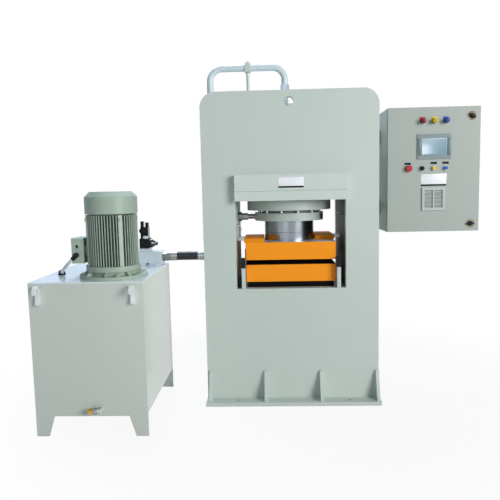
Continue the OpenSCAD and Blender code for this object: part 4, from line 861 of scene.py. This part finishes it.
class PRESS_OT_small_fittings(bpy.types.Operator):
    """Terminal box screws, valve label and screws, and the panel's mounting plate"""
    bl_idname = "press.small_fittings"
    bl_label = "Small fittings"

    def execute(self, context):
        self.terminal_screws()
        self.valve_trim()
        self.mounting_plate()
        return {"FINISHED"}

    def terminal_screws(self):
        low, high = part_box("terminal_box")
        head_r, head_t, proud, inset = 0.0045, 0.004, 0.0015, 0.011
        screw = turned(head_r, head_t, (low.x - proud, low.y + inset, low.z + inset), "X", sides=24)
        screw = pressed(screw, border=0.0018, step=-0.0018, edge=0.0005, normal=LEFT)
        screw = cornered(screw, (0, high.y - low.y - 2 * inset, 0), (0, 0, high.z - low.z - 2 * inset))
        dress(screw, "terminal_box_screws", "press", "steel")

    def valve_trim(self):
        valve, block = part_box("valve_stack")[0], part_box("manifold_block")
        # The pilot valve stands on its sandwich plates, over the middle of the block
        stack_h, half_d, rise = 0.062, 0.025, 0.003
        middle, top = (block[0].y + block[1].y) / 2, block[1].z + stack_h
        face, thick = middle - half_d, 0.001
        x0, x1, label_top = 0.025, 0.058, 0.021
        label = slab((valve.x + x0, face - thick, top + rise), (valve.x + x1, face, top + label_top))
        label = pressed(label, border=0.001, step=0.0002, edge=0.0003)
        dress(label, "valve_label", "press", "label")
        head_r, head_t, inset, pitch_x, pitch_y = 0.0042, 0.006, 0.005, 0.057, 0.0606
        cap = turned(head_r, head_t, (valve.x + inset, middle - pitch_y / 2, top + rise), "Z", sides=24)
        cap = pressed(cap, border=0.0016, step=-0.003, edge=0.0004, normal=UP)
        cap = cornered(cap, (pitch_x, 0, 0), (0, pitch_y, 0))
        dress(cap, "valve_screws", "press", "dark_steel")

    def mounting_plate(self):
        low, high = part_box("panel_box")
        edge, wall, thick = 0.052, 0.0032, 0.0028
        back = high.y - wall
        sheet = slab((low.x + edge, back - thick, low.z + edge), (high.x - edge, back, high.z - edge))
        sheet = pressed(sheet, border=0.012, step=-0.0008, edge=0.0004)
        dress(sheet, "mounting_plate", "press", "zinc")


# Stage

# Camera found from the photo's edges
EYE = Vector((-0.1208, -3.7662, 1.3699))
PITCH, ROLL, YAW = math.radians(6.26), math.radians(-1.25), math.radians(-2.26)
LENS_MM, SENSOR_MM = 39.80, 36

# Name, place, aim, size in metres, watts and colour of each area lamp
LAMPS = (
    ("key", (6.0, -6.6, 3.4), (-0.3, 0, 1.0), 4.0, 640, "#ffffff"),
    ("front", (-2.2, -7.0, 2.4), (-0.5, 0, 1.0), 3.0, 50, "#ffffff"),
    ("top", (-1.2, 1.2, 5.0), (-0.8, 0, 1.0), 3.0, 150, "#e4f1ff"),
    ("back", (-2.0, 5.5, 6.0), (-0.3, 0, 1.0), 2.5, 180, "#eef6ff"))

FLOOR_SIZE = 60
# The floor's share of plain white near the press and far off, and the distances between which it grows
NEAR_WHITE, FAR_WHITE = 0.92, 1.0
WHITE_FROM, WHITE_TO = 1.2, 2.3
# Strength of the world for diffuse and for mirrored light
SKY_DIFFUSE, SKY_MIRRORED = 0.11, 1.0
WHITE = (1, 1, 1, 1)


class PRESS_OT_stage(bpy.types.Operator):
    """Camera, pale floor and soft studio light"""
    bl_idname = "press.stage"
    bl_label = "Stage"

    def execute(self, context):
        context.scene.view_settings.view_transform = "Standard"
        self.camera(context.scene)
        self.floor()
        self.world(context.scene)
        self.lamps(context.scene)
        return {"FINISHED"}

    def camera(self, scene):
        data = bpy.data.cameras.new("photo_camera")
        data.lens = LENS_MM
        data.sensor_width = SENSOR_MM
        camera = bpy.data.objects.new("photo_camera", data)
        scene.collection.objects.link(camera)
        base = Matrix(((1, 0, 0), (0, 0, -1), (0, 1, 0)))
        view = (Matrix.Rotation(ROLL, 3, "Z") @ Matrix.Rotation(PITCH, 3, "X") @ base
                @ Matrix.Rotation(YAW, 3, "Z"))
        axes = Matrix((view[0], -view[1], -view[2])).transposed()
        camera.matrix_world = Matrix.Translation(EYE) @ axes.to_4x4()
        scene.camera = camera

    def floor(self):
        bpy.ops.object.select_all(action="DESELECT")
        bpy.ops.mesh.primitive_plane_add(size=FLOOR_SIZE, location=(0, 0, 0))
        floor = bpy.context.object
        floor.name = "floor"
        made, tree, out, place = begin("white studio floor")
        grain = put(tree, "ShaderNodeTexNoise", {"Vector": place, "Scale": 3.0})
        tone = put(tree, "ShaderNodeMix", {"Factor": grain.outputs["Fac"], "A": linear("#c4c4c4") + [1.0],
                                           "B": linear("#cacaca") + [1.0]}, data_type="RGBA")
        matt = put(tree, "ShaderNodeBsdfDiffuse", {"Color": tone.outputs["Result"]})
        glow = put(tree, "ShaderNodeEmission", {"Color": WHITE, "Strength": 1.0})
        path = put(tree, "ShaderNodeLightPath")
        seen = put(tree, "ShaderNodeMath", {
            0: path.outputs["Is Camera Ray"], 1: path.outputs["Is Glossy Ray"]}, operation="MAXIMUM")
        seen = put(tree, "ShaderNodeMath", {
            0: seen.outputs["Value"], 1: path.outputs["Is Transmission Ray"]}, operation="MAXIMUM")
        # Near the press the floor keeps a soft shadow, and further off it is plain white
        away = put(tree, "ShaderNodeVectorMath", {0: place}, operation="LENGTH")
        white = put(tree, "ShaderNodeMapRange", {
            "Value": away.outputs["Value"], "From Min": WHITE_FROM, "From Max": WHITE_TO,
            "To Min": NEAR_WHITE, "To Max": FAR_WHITE}, interpolation_type="SMOOTHSTEP")
        share = put(tree, "ShaderNodeMath", {0: seen.outputs["Value"], 1: white.outputs["Result"]},
                    operation="MULTIPLY")
        mixed = put(tree, "ShaderNodeMixShader", {"Fac": share.outputs["Value"], 1: matt.outputs["BSDF"],
                                                  2: glow.outputs["Emission"]})
        tree.links.new(mixed.outputs["Shader"], out.inputs["Surface"])
        floor.data.materials.append(made)

    def world(self, scene):
        scene.world = bpy.data.worlds.new("studio")
        scene.world.use_nodes = True
        tree = scene.world.node_tree
        tree.nodes.clear()
        path = put(tree, "ShaderNodeLightPath")
        seen = put(tree, "ShaderNodeMath", {
            0: path.outputs["Is Camera Ray"], 1: path.outputs["Is Transmission Ray"]}, operation="MAXIMUM")
        lit = put(tree, "ShaderNodeMapRange", {"Value": path.outputs["Is Glossy Ray"], "To Min": SKY_DIFFUSE,
                                               "To Max": SKY_MIRRORED})
        power = put(tree, "ShaderNodeMix", {"Factor": seen.outputs["Value"], "A": lit.outputs["Result"],
                                            "B": 1.0})
        hue = put(tree, "ShaderNodeMix", {"Factor": seen.outputs["Value"], "A": linear("#d6e8ff") + [1.0],
                                          "B": WHITE}, data_type="RGBA")
        sky = put(tree, "ShaderNodeBackground", {"Color": hue.outputs["Result"],
                                                 "Strength": power.outputs["Result"]})
        put(tree, "ShaderNodeOutputWorld", {"Surface": sky.outputs["Background"]})

    def lamps(self, scene):
        for name, spot, aim, size, watts, hue in LAMPS:
            data = bpy.data.lights.new(name, "AREA")
            data.energy = watts
            data.color = linear(hue)
            data.size = size
            lamp = bpy.data.objects.new(name, data)
            scene.collection.objects.link(lamp)
            lamp.location = spot
            lamp.rotation_euler = (Vector(aim) - Vector(spot)).to_track_quat("-Z", "Y").to_euler()


class PRESS_PT_panel(bpy.types.Panel):
    """Lists the colours and sizes, and the steps that make the pieces"""
    bl_idname = "PRESS_PT_panel"
    bl_label = "Moulding press"
    bl_space_type = "VIEW_3D"
    bl_region_type = "UI"
    bl_category = "Press"

    def draw(self, context):
        for group in (context.scene.press_colours, context.scene.press_sizes):
            for key in group.__annotations__:
                self.layout.prop(group, key)
        for step in STEPS:
            self.layout.operator(step.bl_idname)


STEPS = (PRESS_OT_finishes, PRESS_OT_stage, PRESS_OT_conduit, PRESS_OT_plates, PRESS_OT_lamps,
         PRESS_OT_screen, PRESS_OT_lock_rings, PRESS_OT_seals, PRESS_OT_welds, PRESS_OT_filter_mat,
         PRESS_OT_hose_trim, PRESS_OT_small_fittings)
CLASSES = (PressColours, PressSizes, *STEPS, PRESS_PT_panel)


def register():
    for item in CLASSES:
        bpy.utils.register_class(item)
    bpy.types.Scene.press_colours = bpy.props.PointerProperty(type=PressColours)
    bpy.types.Scene.press_sizes = bpy.props.PointerProperty(type=PressSizes)


def unregister():
    del bpy.types.Scene.press_colours
    del bpy.types.Scene.press_sizes
    for item in reversed(CLASSES):
        bpy.utils.unregister_class(item)


def main():
    register()
    bpy.ops.press.finishes()
    bpy.ops.press.stage()
    bpy.ops.press.conduit()
    bpy.ops.press.plates()
    bpy.ops.press.lamps()
    bpy.ops.press.screen()
    bpy.ops.press.lock_rings()
    bpy.ops.press.seals()
    bpy.ops.press.welds()
    bpy.ops.press.filter_mat()
    bpy.ops.press.hose_trim()
    bpy.ops.press.small_fittings()


if __name__ == "__main__":
    main()
